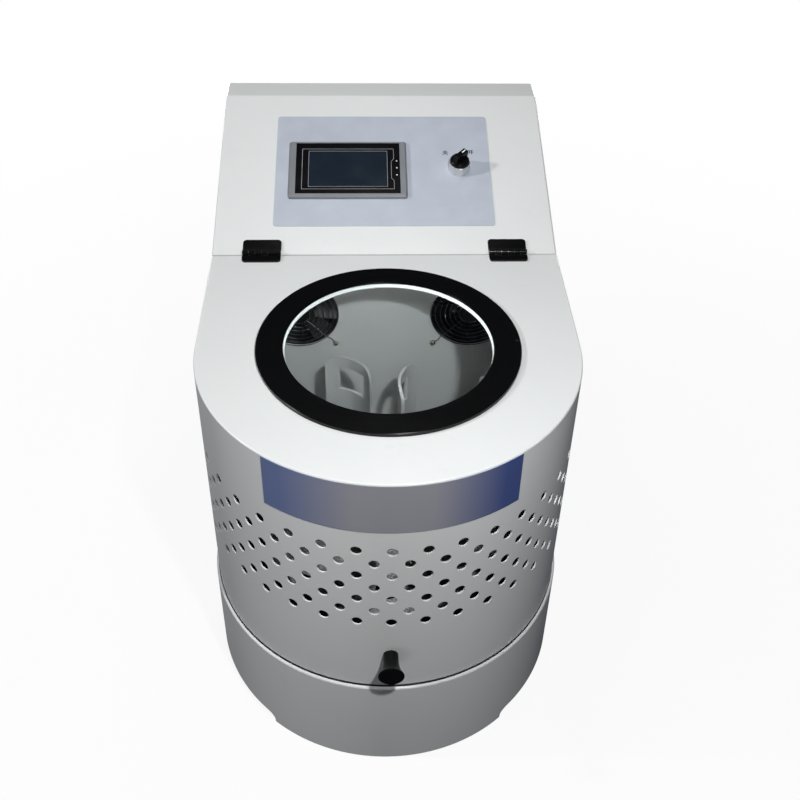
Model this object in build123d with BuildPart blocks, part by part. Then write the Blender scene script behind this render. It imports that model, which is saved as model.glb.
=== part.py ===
from build123d import *
import math
import os

os.makedirs("parts", exist_ok=True)

# Planetary ball mill for a laboratory bench.
# Millimetres, +Z up, front towards -Y. The origin is on the table, at the middle of the
# box round the whole machine. Distances called "reach" are measured back from the main shaft.

# ------------------------------------------------------------------ driving sizes
# Housing
hood_radius = 235.0          # outside of the hood, and half the width of the console
hood_reach = 199.0           # rear edge of the hood
console_reach = 202.0        # front edge of the console
slope_run = 293.0            # sloping panel, measured level
slope_rise = 93.5            # sloping panel, measured upright
crown_depth = 46.0           # level strip along the console's top
lid_height = 516.0           # top of the closed lid above the table
base_height = 157.0          # top rim of the base above the table
base_proud = 4.0             # base rim outside the hood, all round
sheet = 2.0                  # painted steel sheet
fold_radius = 3.0            # outside radius of the console's folds
lid_edge_radius = 1.5
skirt_lift = 1.5             # skirt's lower edge above the table
notch_height = 14.0          # finger notches along both lower edges
notch_corner = 10.0
notch_angle = 40.4           # front end of the notches, from the front centre line
rear_foot = 70.0             # length of skirt left behind the notches
deck_thickness = 3.0
rim_lip = 1.0                # rim standing above the deck
flange_width = 16.0          # folded flanges inside the sheet metal
floor_thickness = 4.0
foot_height = 16.0
foot_radius = 22.0
foot_toe = 18.0              # radius at the table
foot_flare = 5.6             # height of the flare above the toe
foot_recess = 7.2            # depth of the bolt's recess
foot_inset = 70.0            # feet in from the hood's sides
foot_front_reach = -110.0
foot_rear_inset = 65.0       # rear feet in from the base's rear edge
sheet_gap = 0.3              # gap where one sheet fits inside another
running_gap = 0.05           # radial play of a shaft in its bore

# Hood
hem_width = 8.0
seam_gap = 1.5               # hood's lower edge above the base rim
hole_radius = 6.5            # ventilation holes
hole_step_angle = 5.0        # between neighbouring columns
hole_half_row = 20.8         # height between neighbouring rows, which are staggered
hole_drop = 106.5            # top row below the lid
hole_columns = 17            # each side of the middle column
hole_rows = 7
window_bore = 126.5
window_flange = 2.0
window_flange_wall = 1.5
pane_radius = 145.0
pane_thickness = 3.0
pane_edge = 0.5
ring_radius = 161.5
ring_bore = 127.8
ring_thickness = 5.0
ring_edge = 0.8
ring_screw_circle = 156.7
ring_screw_radius = 1.9
ring_screw_head = 3.4
ring_screw_cone = 1.7
ring_socket_radius = 1.4
ring_socket_depth = 1.2
ring_screws = 6
label_angle = 37.4           # half the arc of the plain label band
label_height = 72.0
label_thickness = 0.4
knob_height = 222.0
knob_length = 32.0
knob_neck = 9.5
knob_rim = 15.9
knob_stud = 3.0
knob_neck_length = 9.6
knob_thread = 19.2           # stud's reach into the knob
knob_edge = 0.8
knob_washer = 3.0            # thickness of the knob screw's head

# Hinges
hinge_width = 52.0
hinge_inset = 67.8           # middle of each hinge in from the hood's side
hinge_leaf_hood = 16.0       # leaf on the lid, in front of the lid's rear edge
hinge_leaf_console = 24.0
hinge_leaf = 2.6
hinge_knuckles = 6           # taken in turn by the hood's leaf and the console's
hinge_lift = 4.4             # pin above the lid
knuckle_radius = 3.6
knuckle_gap = 0.4
arm_reach = 2.9              # where the hood's arm meets its knuckle, in front of the pin
arm_rise = 2.2               # and below it
pin_radius = 1.8
leaf_corner = 5.0

# Control panel, measured across (u) and up the slope (v) from the console's front edge
plate_width = 309.0
plate_low = 49.5
plate_high = 262.0
plate_thickness = 1.0
plate_corner = 5.0
bezel_inset = 103.7          # middle of the screen in from the plate's left edge
bezel_v = 152.8
bezel_width = 169.4
bezel_height = 107.5
bezel_rise = 6.0
bezel_bevel = 2.5
bezel_corner = 4.0
screen_body_depth = 38.0
screen_body_inset = 9.0
face_width = 149.0
face_height = 97.0
face_thickness = 1.5
glass_width = 112.8
glass_height = 68.4
glass_thickness = 1.2
led_offset = 70.1            # lamps to the right of the screen's middle
led_radius = 1.2
led_pitch = 13.4
leds = 3
switch_inset = 45.2          # switch in from the plate's right edge
switch_v = 157.0
collar_radius = 15.5
collar_top_radius = 14.4
collar_height = 14.0
collar_recess = 3.0
collar_band = 8.4            # straight part of the collar, below its taper
collar_body_radius = 10.8
collar_body_depth = 30.0
dial_radius = 13.4
dial_rise = 5.5
dial_edge = 2.0
grip_width = 7.5
grip_length = 26.0
grip_height = 31.0
grip_sink = 2.0
grip_taper = 1.0             # end faces lean in by this much
grip_slant = 3.2             # at the blunt end, up to its chamfer
grip_nose = 5.8              # at the blunt end, on top
switch_on_angle = 45.0
spindle_radius = 3.0
spindle_depth = 12.0         # switch spindle below the slope
marker_width = 1.6
marker_length = 7.5
marker_reach = 7.2           # middle of the mark, out from the switch's axis
marker_thickness = 0.3

# Drive
module_size = 4.0
sun_teeth = 36
planet_teeth = 18
backlash = 0.5
pressure_angle = 20.0
addendum = 0.9               # tooth above the pitch circle, in modules
dedendum = 1.2               # tooth below the pitch circle, in modules
gear_width = 16.0
gear_height = 168.0          # underside of the gears above the table
shaft_radius = 12.5
shaft_foot = 36.0
shaft_edge = 0.8
main_bearing_radius = 26.0
main_bearing_width = 15.0
race_share = 0.28            # of a bearing's section, for each race
seal_step = 0.8              # seals set back from the races
housing_foot = 78.0
housing_radius = 36.0
gear_seat_radius = 30.0
housing_relief = 5.0          # room round the shaft between its bearings
housing_flange = 70.0
housing_flange_thickness = 8.0
housing_bolts = 6
shaft_collar = 5.0
cap_nut_radius = 19.0
cap_nut_hexagon = 12.0        # height of its six-sided part
cap_nut_dome = 14.0
cap_nut_thread = 9.0
spindle_shoulder = 3.5
spindle_nut = 6.0
motor_cowl = 40.0
housing_bolt_circle = 58.0
bolt_radius = 4.0
bolt_head = 6.5
bolt_head_height = 3.4
turntable_height = 194.0     # underside of the turntable
turntable_thickness = 14.0
turntable_radius = 170.0
turntable_edge = 1.6
lightening_radius = 17.0
lightening_circle = 122.0
planet_shaft_radius = 10.0
planet_bearing_radius = 23.5
pulley_height = 42.0
pulley_width = 26.0
main_pulley_radius = 88.0
motor_pulley_radius = 35.2
pulley_flange = 2.0
pulley_flange_rise = 5.0
pulley_web = 8.0
belt_thickness = 4.0
belt_gap = 0.3
motor_reach = 335.0
motor_shaft_radius = 12.0
motor_radius = 70.0
motor_height = 190.0
motor_flange = 160.0
motor_fins = 20
fin_rise = 6.0
fin_thickness = 2.5

# Jar holders
cup_radius = 61.0
cup_wall = 4.0
cup_floor_thickness = 8.0
cup_edge = 0.8
cup_depth = 30.0
cup_clearance = 2.0          # holder above the turntable
ear_top = 392.0
ear_half_width = 36.5
ear_corner = 18.0
ear_root = 9.0
slot_width = 41.0
slot_height = 40.0
slot_drop = 18.0             # slot below the ear's top
# azimuth of each holder and the direction its ears face, counted from +X
holder_places = {
    "rear_right": (45.0, 165.0),
    "rear_left": (135.0, 58.0),
    "front_left": (225.0, 149.0),
    "front_right": (315.0, 76.0),
}

# Fans in the chamber's rear wall
fan_inset = 112.6            # middle of each fan in from the hood's side
fan_drop = 100.0             # and below the lid
fan_size = 120.0
fan_depth = 25.0
fan_bore = 57.0
fan_corner = 4.0
fan_screw_offset = 52.5
fan_screw_radius = 2.1
fan_hub_radius = 19.0
fan_blades = 7
fan_blade_thickness = 1.6
fan_root_chord = 22.0
fan_root_pitch = 50.0        # degrees from the plane of the fan
fan_tip_chord = 32.0
fan_tip_pitch = 28.0
fan_hub_step = 2.0           # hub set back behind the frame's front
fan_spindle = 3.0
fan_screw_head = 3.8
fan_tip_gap = 1.5
fan_strut = 5.0
fan_back = 3.0
guard_rings = 7
guard_radius = 57.8
guard_pitch = 6.8
guard_wire = 1.6
guard_eyelet = 4.4

# Electrical
inlet_inset = 85.0           # in from the console's side
inlet_z = 215.0
inlet_width = 30.0
inlet_height = 22.0
inlet_depth = 24.0
inlet_flange = 5.0
inlet_lip = 2.0
inlet_wall = 2.0
pin_gap = 7.0
louvre_length = 70.0
louvre_width = 5.0
louvre_pitch = 13.0
louvre_rows = 9
louvre_inset = 145.0
louvre_z = 440.0
inverter_inset = 85.0
inverter_reach = 420.0
inverter_width = 90.0
inverter_depth = 110.0
inverter_height = 160.0
inverter_fins = 9
seal_width = 8.0

# ------------------------------------------------------------------ derived sizes
cabinet_reach = console_reach + slope_run + crown_depth
base_radius = hood_radius + base_proud
base_reach = cabinet_reach + base_proud
shaft_y = (hood_radius + knob_length - base_reach) / 2
foot_x = hood_radius - foot_inset
foot_rear_reach = base_reach - foot_rear_inset
hinge_x = hood_radius - hinge_inset
fan_x = hood_radius - fan_inset
fan_z = lid_height - fan_drop
inlet_x = hood_radius - inlet_inset
louvre_x = hood_radius - louvre_inset
inverter_x = inverter_inset - hood_radius
console_height = lid_height + slope_rise
bezel_u = bezel_inset - plate_width / 2
led_u = bezel_u + led_offset
switch_u = plate_width / 2 - switch_inset
crest_reach = console_reach + slope_run
deck_top = base_height - rim_lip
deck_bottom = deck_top - deck_thickness
hood_bottom = base_height + seam_gap
slope_angle = math.atan2(slope_rise, slope_run)
pin_reach = (hood_reach + console_reach) / 2
pin_height = lid_height + hinge_lift
partition_width = hood_radius - 2 * sheet
turntable_top = turntable_height + turntable_thickness
orbit_radius = module_size * (sun_teeth + planet_teeth) / 2
holder_bottom = turntable_top + cup_clearance
cup_floor = holder_bottom + cup_floor_thickness
gear_top = gear_height + gear_width


def back(reach):
    """The Y of a place this far behind the main shaft."""
    return shaft_y + reach


# ------------------------------------------------------------------ work planes
slope_plane = Plane(
    origin=(0, back(console_reach), lid_height),
    x_dir=(1, 0, 0),
    z_dir=(0, -math.sin(slope_angle), math.cos(slope_angle)),
)
slope_normal = Axis(slope_plane.origin, slope_plane.z_dir)


def upright_axis(x, y):
    """Plane for a turned profile: radius across, height up, about the upright axis at (x, y)."""
    return Plane(origin=(x, y, 0), x_dir=(1, 0, 0), z_dir=(0, -1, 0))


def forward_axis(x, y, z):
    """Plane for a turned profile whose axis points forward from (x, y, z)."""
    return Plane(origin=(x, y, z), x_dir=(1, 0, 0), z_dir=(0, 0, -1))


def slope_axis(u, v):
    """Plane for a turned profile whose axis stands on the sloping panel at (u, v)."""
    foot = slope_plane.from_local_coords((u, v, 0))
    return Plane(
        origin=foot,
        x_dir=(1, 0, 0),
        z_dir=(0, -math.cos(slope_angle), -math.sin(slope_angle)),
    )


def facing(reach):
    """Plane facing forward, this far behind the main shaft; X across, Z up."""
    return Plane.XZ.offset(-back(reach))


main_axis = upright_axis(0, shaft_y)
motor_axis = upright_axis(0, back(motor_reach))


# ------------------------------------------------------------------ shared shapes
def bay(half_width, reach):
    """Outline with a half-round front about the main shaft and straight sides running back."""
    with BuildSketch() as outline:
        with BuildLine():
            front = CenterArc((0, shaft_y), half_width, 180, 180)
            Polyline(
                front @ 1,
                (half_width, back(reach)),
                (-half_width, back(reach)),
                front @ 0,
            )
        make_face()
    return outline.sketch


def turn(profile, plane, mode=Mode.ADD):
    """Turns a closed outline of (radius, height) points about the plane's own Y axis."""
    with BuildSketch(plane) as section:
        with BuildLine():
            Polyline(*profile, close=True)
        make_face()
    revolve(section.sketch, axis=Axis(plane.origin, plane.y_dir), mode=mode)


def disc_profile(radius, low, high, edge=0.0, bore=0.0):
    """Profile of a plain disc or ring with both outer edges chamfered."""
    return [
        (bore, low),
        (radius - edge, low),
        (radius, low + edge),
        (radius, high - edge),
        (radius - edge, high),
        (bore, high),
    ]


def gear_face(teeth, x, y, phase, bore):
    """Spur gear outline with involute flanks; phase is the direction of one tooth's middle."""
    pressure = math.radians(pressure_angle)
    pitch_radius = module_size * teeth / 2
    base_circle = pitch_radius * math.cos(pressure)
    tip = pitch_radius + addendum * module_size
    root = pitch_radius - dedendum * module_size

    def half_angle(radius):
        roll = math.acos(min(1.0, base_circle / radius))
        spread = math.tan(pressure) - pressure - (math.tan(roll) - roll)
        return math.pi / (2 * teeth) + spread - backlash / (2 * pitch_radius)

    flank = [root, pitch_radius, tip]
    points = []
    for tooth in range(teeth):
        middle = math.radians(phase + 360 * tooth / teeth)
        rising = [(radius, middle - half_angle(radius)) for radius in flank]
        falling = [(radius, middle + half_angle(radius)) for radius in reversed(flank)]
        for radius, angle in rising + falling:
            points.append((x + radius * math.cos(angle), y + radius * math.sin(angle)))
    with BuildSketch() as outline:
        with BuildLine():
            Polyline(*points, close=True)
        make_face()
        with Locations((x, y)):
            Circle(bore, mode=Mode.SUBTRACT)
    return outline.sketch


def bearing_profile(bore, radius, low, width):
    """Sealed ball bearing: two rings with the seals set back between them."""
    ring = (radius - bore) * race_share
    return [
        (bore, low),
        (bore + ring, low),
        (bore + ring, low + seal_step),
        (radius - ring, low + seal_step),
        (radius - ring, low),
        (radius, low),
        (radius, low + width),
        (radius - ring, low + width),
        (radius - ring, low + width - seal_step),
        (bore + ring, low + width - seal_step),
        (bore + ring, low + width),
        (bore, low + width),
    ]


def pulley_rim(radius):
    """Running face of a belt pulley with a flange at each end, from its foot up."""
    low = pulley_height
    high = pulley_height + pulley_width
    flange = radius + pulley_flange_rise
    return [
        (flange, low),
        (flange, low + pulley_flange),
        (radius, low + pulley_flange),
        (radius, high - pulley_flange),
        (flange, high - pulley_flange),
        (flange, high),
    ]


def webbed_pulley(radius, bore, hub, hub_top):
    """Belt pulley with a thin web between rim and hub."""
    low = pulley_height
    rim = radius - pulley_web
    web_low = low + (pulley_width - pulley_web) / 2
    inner = [(bore, low), (hub, low), (hub, web_low), (rim, web_low), (rim, low)]
    outer = [
        (rim, low + pulley_width),
        (rim, web_low + pulley_web),
        (hub, web_low + pulley_web),
        (hub, hub_top),
        (bore, hub_top),
    ]
    return inner + pulley_rim(radius) + outer


def save(piece, name):
    """Names the finished piece and writes it."""
    piece.label = name
    export_step(piece, "parts/" + name + ".step")


# ------------------------------------------------------------------ base
with BuildPart() as base_skirt:
    with BuildSketch(Plane.XY.offset(skirt_lift)):
        add(bay(base_radius, base_reach))
        add(bay(base_radius - sheet, base_reach - sheet), mode=Mode.SUBTRACT)
    extrude(amount=base_height - skirt_lift)
    # inward flange that carries the deck
    with BuildSketch(Plane.XY.offset(deck_bottom - sheet)):
        add(bay(base_radius - sheet, base_reach - sheet))
        add(bay(base_radius - flange_width, base_reach - flange_width), mode=Mode.SUBTRACT)
    extrude(amount=sheet)
    # finger notches, open at the bottom, from the front arc back to the rear foot
    notch_front = back(-base_radius * math.cos(math.radians(notch_angle)))
    notch_rear = back(base_reach - rear_foot)
    with BuildSketch(Plane.YZ):
        with BuildLine():
            Polyline(
                (notch_front, 0),
                (notch_front, skirt_lift + notch_height),
                (notch_rear, skirt_lift + notch_height),
                (notch_rear, 0),
                close=True,
            )
        notch = make_face()
        fillet(notch.vertices().group_by(Axis.Y)[-1], notch_corner)
    extrude(amount=base_radius + sheet, both=True, mode=Mode.SUBTRACT)
save(base_skirt.part, "base_skirt")

with BuildPart() as base_floor:
    with BuildSketch(Plane.XY.offset(foot_height)):
        add(bay(base_radius - sheet - sheet_gap, base_reach - sheet - sheet_gap))
    extrude(amount=floor_thickness)
save(base_floor.part, "base_floor")

foot_spots = []
for side in (-1, 1):
    for reach in (foot_front_reach, foot_rear_reach):
        foot_spots.append((side * foot_x, back(reach)))

with BuildPart() as rubber_feet:
    for x, y in foot_spots:
        turn(
            [
                (bolt_head, 0),
                (foot_toe, 0),
                (foot_radius, foot_flare),
                (foot_radius, foot_height),
                (bolt_radius, foot_height),
                (bolt_radius, foot_recess),
                (bolt_head, foot_recess),
            ],
            upright_axis(x, y),
        )
save(rubber_feet.part, "rubber_feet")

with BuildPart() as deck_plate:
    with BuildSketch(Plane.XY.offset(deck_bottom)):
        add(bay(base_radius - sheet - sheet_gap, base_reach - sheet - sheet_gap))
        with Locations((0, shaft_y)):
            Circle(housing_radius + sheet_gap, mode=Mode.SUBTRACT)
        with Locations((0, back(motor_reach))):
            Circle(2 * motor_shaft_radius, mode=Mode.SUBTRACT)
    extrude(amount=deck_thickness)
save(deck_plate.part, "deck_plate")

with BuildPart() as chamber_seal:
    with BuildSketch(Plane.XY.offset(deck_top)):
        add(bay(hood_radius, hood_reach))
        add(bay(hood_radius - seal_width, hood_reach + sheet), mode=Mode.SUBTRACT)
    extrude(amount=hood_bottom - deck_top)
save(chamber_seal.part, "chamber_seal")

# ------------------------------------------------------------------ chamber rear wall
with BuildPart() as partition_panel:
    with BuildSketch(facing(console_reach - sheet)):
        with Locations((0, (deck_top + lid_height) / 2 - sheet)):
            Rectangle(2 * partition_width, lid_height - deck_top - 2 * sheet)
        with Locations((-fan_x, fan_z), (fan_x, fan_z)):
            Circle(fan_bore, mode=Mode.SUBTRACT)
            with GridLocations(2 * fan_screw_offset, 2 * fan_screw_offset, 2, 2):
                Circle(fan_screw_radius, mode=Mode.SUBTRACT)
    extrude(amount=-sheet)
save(partition_panel.part, "partition_panel")

# ------------------------------------------------------------------ console
slope_drop = sheet / math.cos(slope_angle)
inner_crest = crest_reach + (slope_drop - sheet) / math.tan(slope_angle)
open_front = console_reach - sheet
open_rear = cabinet_reach + sheet
slope_fall = (console_reach - open_front) * math.tan(slope_angle)

with BuildPart() as console_shell:
    with BuildSketch(Plane.YZ):
        with BuildLine():
            Polyline(
                (back(console_reach), deck_top),
                (back(console_reach), lid_height),
                (back(crest_reach), console_height),
                (back(cabinet_reach), console_height),
                (back(cabinet_reach), deck_top),
                close=True,
            )
        make_face()
    extrude(amount=hood_radius, both=True)
    # the folds along both sides of the slope and crown, and across its top
    side_folds = console_shell.edges().filter_by(Plane.YZ).filter_by(
        lambda edge: edge.center().Z > lid_height
    )
    cross_folds = console_shell.edges().filter_by(Axis.X).filter_by(
        lambda edge: edge.center().Z > console_height - fold_radius
    )
    fillet(side_folds + cross_folds, fold_radius)
    # hollow, open to the front, the rear and below
    with BuildSketch(Plane.YZ):
        with BuildLine():
            Polyline(
                (back(open_front), 0),
                (back(open_front), lid_height - slope_drop - slope_fall),
                (back(inner_crest), console_height - sheet),
                (back(open_rear), console_height - sheet),
                (back(open_rear), 0),
                close=True,
            )
        make_face()
    extrude(amount=hood_radius - sheet, both=True, mode=Mode.SUBTRACT)
    # folded flanges round the front opening, and round the rear one behind the rear panel
    flange_x = hood_radius - sheet - flange_width / 2
    front_top = lid_height - sheet / 2
    with BuildSketch(facing(console_reach)):
        with Locations((-flange_x, (deck_top + front_top) / 2), (flange_x, (deck_top + front_top) / 2)):
            Rectangle(flange_width, front_top - deck_top)
        with Locations((0, front_top - flange_width / 2)):
            Rectangle(2 * (hood_radius - sheet), flange_width)
    extrude(amount=-sheet)
    rear_top = console_height - sheet
    with BuildSketch(facing(cabinet_reach - sheet)):
        with Locations((-flange_x, (deck_top + rear_top) / 2), (flange_x, (deck_top + rear_top) / 2)):
            Rectangle(flange_width, rear_top - deck_top)
        with Locations((0, rear_top - flange_width / 2)):
            Rectangle(2 * (hood_radius - sheet), flange_width)
    extrude(amount=sheet)
    # openings for the screen's body and the switch
    with BuildSketch(slope_plane):
        with Locations((bezel_u, bezel_v)):
            Rectangle(
                bezel_width - 2 * screen_body_inset + 2 * sheet_gap,
                bezel_height - 2 * screen_body_inset + 2 * sheet_gap,
            )
        with Locations((switch_u, switch_v)):
            Circle(collar_body_radius + sheet_gap)
    extrude(amount=2 * sheet, both=True, mode=Mode.SUBTRACT)
save(console_shell.part, "console_shell")

with BuildPart() as rear_panel:
    panel_top = console_height - sheet - sheet_gap
    with BuildSketch(facing(cabinet_reach)):
        with Locations((0, (deck_top + panel_top) / 2)):
            Rectangle(2 * (hood_radius - sheet - sheet_gap), panel_top - deck_top)
        for side in (-1, 1):
            with Locations((side * louvre_x, louvre_z)):
                with GridLocations(0, louvre_pitch, 1, louvre_rows):
                    SlotOverall(louvre_length, louvre_width, mode=Mode.SUBTRACT)
        with Locations((inlet_x, inlet_z)):
            Rectangle(inlet_width + 2 * sheet_gap, inlet_height + 2 * sheet_gap, mode=Mode.SUBTRACT)
    extrude(amount=sheet)
save(rear_panel.part, "rear_panel")

with BuildPart() as power_inlet:
    with BuildSketch(facing(cabinet_reach)):
        with Locations((inlet_x, inlet_z)):
            RectangleRounded(
                inlet_width + 2 * inlet_flange, inlet_height + 2 * inlet_flange, inlet_flange
            )
    extrude(amount=-inlet_lip)
    with BuildSketch(facing(cabinet_reach)):
        with Locations((inlet_x, inlet_z)):
            Rectangle(inlet_width, inlet_height)
    extrude(amount=inlet_depth)
    # socket, with the lower corners cut off as on a cold-appliance inlet
    with BuildSketch(facing(cabinet_reach + inlet_lip)):
        with Locations((inlet_x, inlet_z)):
            socket = Rectangle(inlet_width - 2 * inlet_wall, inlet_height - 2 * inlet_wall)
        chamfer(socket.vertices().group_by(Axis.Y)[0], inlet_flange)
    extrude(amount=inlet_depth - inlet_wall, mode=Mode.SUBTRACT)
    with BuildSketch(facing(cabinet_reach - inlet_depth + inlet_wall)):
        with Locations((inlet_x, inlet_z)):
            with Locations((-pin_gap, -inlet_wall), (pin_gap, -inlet_wall), (0, inlet_wall)):
                Rectangle(inlet_wall, 2 * inlet_wall)
    extrude(amount=-(inlet_depth - 2 * inlet_wall))
save(power_inlet.part, "power_inlet")

# ------------------------------------------------------------------ control panel
plate_v = (plate_low + plate_high) / 2
with BuildPart() as control_plate:
    with BuildSketch(slope_plane):
        with Locations((0, plate_v)):
            RectangleRounded(plate_width, plate_high - plate_low, plate_corner)
        with Locations((bezel_u, bezel_v)):
            Rectangle(
                bezel_width - 2 * screen_body_inset + 2 * sheet_gap,
                bezel_height - 2 * screen_body_inset + 2 * sheet_gap,
                mode=Mode.SUBTRACT,
            )
        with Locations((switch_u, switch_v)):
            Circle(collar_body_radius + sheet_gap, mode=Mode.SUBTRACT)
    extrude(amount=plate_thickness)
save(control_plate.part, "control_plate")

bezel_top = plate_thickness + bezel_rise
face_seat = bezel_top - face_thickness
with BuildPart() as screen_bezel:
    with BuildSketch(slope_plane.offset(plate_thickness)):
        with Locations((bezel_u, bezel_v)):
            RectangleRounded(bezel_width, bezel_height, bezel_corner)
    extrude(amount=bezel_rise)
    chamfer(screen_bezel.faces().sort_by(slope_normal)[-1].edges(), bezel_bevel)
    with BuildSketch(slope_plane.offset(face_seat)):
        with Locations((bezel_u, bezel_v)):
            Rectangle(face_width + sheet_gap, face_height + sheet_gap)
    extrude(amount=face_thickness, mode=Mode.SUBTRACT)
    with BuildSketch(slope_plane.offset(plate_thickness)):
        with Locations((bezel_u, bezel_v)):
            Rectangle(bezel_width - 2 * screen_body_inset, bezel_height - 2 * screen_body_inset)
    extrude(amount=-screen_body_depth)
save(screen_bezel.part, "screen_bezel")

with BuildPart() as screen_face:
    with BuildSketch(slope_plane.offset(face_seat)):
        with Locations((bezel_u, bezel_v)):
            Rectangle(face_width, face_height)
            Rectangle(glass_width, glass_height, mode=Mode.SUBTRACT)
        with Locations((led_u, bezel_v)):
            with GridLocations(0, led_pitch, 1, leds):
                Circle(led_radius, mode=Mode.SUBTRACT)
    extrude(amount=face_thickness)
save(screen_face.part, "screen_face")

with BuildPart() as display_glass:
    with BuildSketch(slope_plane.offset(face_seat)):
        with Locations((bezel_u, bezel_v)):
            Rectangle(glass_width, glass_height)
    extrude(amount=glass_thickness)
save(display_glass.part, "display_glass")

with BuildPart() as status_lamps:
    with BuildSketch(slope_plane.offset(face_seat)):
        with Locations((led_u, bezel_v)):
            with GridLocations(0, led_pitch, 1, leds):
                Circle(led_radius)
    extrude(amount=face_thickness)
save(status_lamps.part, "status_lamps")

switch_axis = slope_axis(switch_u, switch_v)
dial_seat = plate_thickness + collar_height - collar_recess
with BuildPart() as switch_collar:
    turn(
        [
            (spindle_radius + running_gap, -collar_body_depth),
            (collar_body_radius, -collar_body_depth),
            (collar_body_radius, plate_thickness),
            (collar_radius, plate_thickness),
            (collar_radius, plate_thickness + collar_band),
            (collar_top_radius, plate_thickness + collar_height),
            (dial_radius + sheet_gap, plate_thickness + collar_height),
            (dial_radius + sheet_gap, dial_seat),
            (spindle_radius + running_gap, dial_seat),
        ],
        switch_axis,
    )
save(switch_collar.part, "switch_collar")

switch_turn = math.radians(switch_on_angle)
pointer = Vector(1, 0, 0) * math.cos(switch_turn) + slope_plane.y_dir * math.sin(switch_turn)
grip_plane = Plane(origin=switch_axis.origin, x_dir=pointer, z_dir=slope_plane.z_dir)
grip_section = Plane(origin=switch_axis.origin, x_dir=pointer, z_dir=-grip_plane.y_dir)
dial_low = dial_seat + sheet_gap
dial_high = dial_low + collar_recess + dial_rise
grip_half = grip_length / 2
with BuildPart() as switch_knob:
    turn(
        [
            (0, -spindle_depth),
            (spindle_radius, -spindle_depth),
            (spindle_radius, dial_low),
            (dial_radius, dial_low),
            (dial_radius, dial_high - dial_edge),
            (dial_radius - dial_edge, dial_high),
            (0, dial_high),
        ],
        switch_axis,
    )
    # bar grip across the dial, longer and steeper at its pointer end
    with BuildSketch(grip_section):
        with BuildLine():
            Polyline(
                (grip_taper - grip_half, dial_high - grip_sink),
                (grip_slant - grip_half, grip_height - grip_sink),
                (grip_nose - grip_half, grip_height),
                (grip_half - grip_taper, grip_height),
                (grip_half, grip_height - grip_sink),
                (grip_half - grip_taper, dial_high - grip_sink),
                close=True,
            )
        make_face()
    extrude(amount=grip_width / 2, both=True)
save(switch_knob.part, "switch_knob")

with BuildPart() as switch_marker:
    with BuildSketch(grip_plane.offset(grip_height)):
        with Locations((marker_reach, 0)):
            SlotOverall(marker_length, marker_width)
    extrude(amount=marker_thickness)
save(switch_marker.part, "switch_marker")

# ------------------------------------------------------------------ hinges
knuckle_length = hinge_width / hinge_knuckles
knuckle_reach = knuckle_radius + knuckle_gap
pin_line = (back(pin_reach), pin_height)
lid_plane = Plane.XY.offset(lid_height)


def knuckle_section(arm):
    """Side view of a knuckle and the arm that joins it to its leaf, with the pin's hole."""
    with BuildSketch(Plane.YZ) as section:
        with BuildLine():
            Polyline(*arm, close=True)
        make_face()
        with Locations(pin_line):
            Circle(knuckle_radius)
            Circle(pin_radius + running_gap, mode=Mode.SUBTRACT)
    return section.sketch


def along_slope(v, rise):
    """(Y, Z) of a place on the slope's side view."""
    place = slope_plane.from_local_coords((0, v, rise))
    return (place.Y, place.Z)


hood_arm = [
    (back(pin_reach) - 2 * knuckle_reach, lid_height),
    (back(pin_reach) - 2 * knuckle_reach, lid_height + hinge_leaf),
    (back(pin_reach) - arm_reach, lid_height + hinge_leaf),
    (back(pin_reach) - arm_rise, pin_height - arm_rise),
    (back(pin_reach) - arm_reach, lid_height),
]
knuckle_middles = [
    (knuckle + 0.5) * knuckle_length - hinge_width / 2 for knuckle in range(hinge_knuckles)
]
console_leaf_start = knuckle_reach + pin_reach - console_reach + knuckle_gap
console_arm = [
    along_slope(2 * knuckle_reach, 0),
    along_slope(2 * knuckle_reach, hinge_leaf),
    along_slope(knuckle_gap, hinge_leaf + knuckle_gap),
    along_slope(knuckle_gap, 0),
]

with BuildPart() as hood_hinge_leaves:
    for side in (-1, 1):
        with BuildSketch(lid_plane):
            leaf_rear = back(pin_reach) - knuckle_reach
            leaf_front = back(hood_reach) - hinge_leaf_hood
            with Locations((side * hinge_x, (leaf_rear + leaf_front) / 2)):
                leaf = Rectangle(hinge_width, leaf_rear - leaf_front)
            fillet(leaf.vertices().group_by(Axis.Y)[0], leaf_corner)
        extrude(amount=hinge_leaf)
        for middle in knuckle_middles[::2]:
            extrude(
                knuckle_section(hood_arm).moved(Location((side * hinge_x + middle, 0, 0))),
                amount=(knuckle_length - knuckle_gap) / 2,
                both=True,
            )
save(hood_hinge_leaves.part, "hood_hinge_leaves")

with BuildPart() as console_hinge_leaves:
    for side in (-1, 1):
        with BuildSketch(slope_plane):
            with Locations((side * hinge_x, (console_leaf_start + hinge_leaf_console) / 2)):
                leaf = Rectangle(hinge_width, hinge_leaf_console - console_leaf_start)
            fillet(leaf.vertices().group_by(Axis.Y)[-1], leaf_corner)
        extrude(amount=hinge_leaf)
        for middle in knuckle_middles[1::2]:
            extrude(
                knuckle_section(console_arm).moved(Location((side * hinge_x + middle, 0, 0))),
                amount=(knuckle_length - knuckle_gap) / 2,
                both=True,
            )
save(console_hinge_leaves.part, "console_hinge_leaves")

with BuildPart() as hinge_pins:
    for side in (-1, 1):
        with BuildSketch(Plane.YZ.offset(side * hinge_x)):
            with Locations(pin_line):
                Circle(pin_radius)
        extrude(amount=hinge_width / 2 + knuckle_gap, both=True)
save(hinge_pins.part, "hinge_pins")

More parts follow.
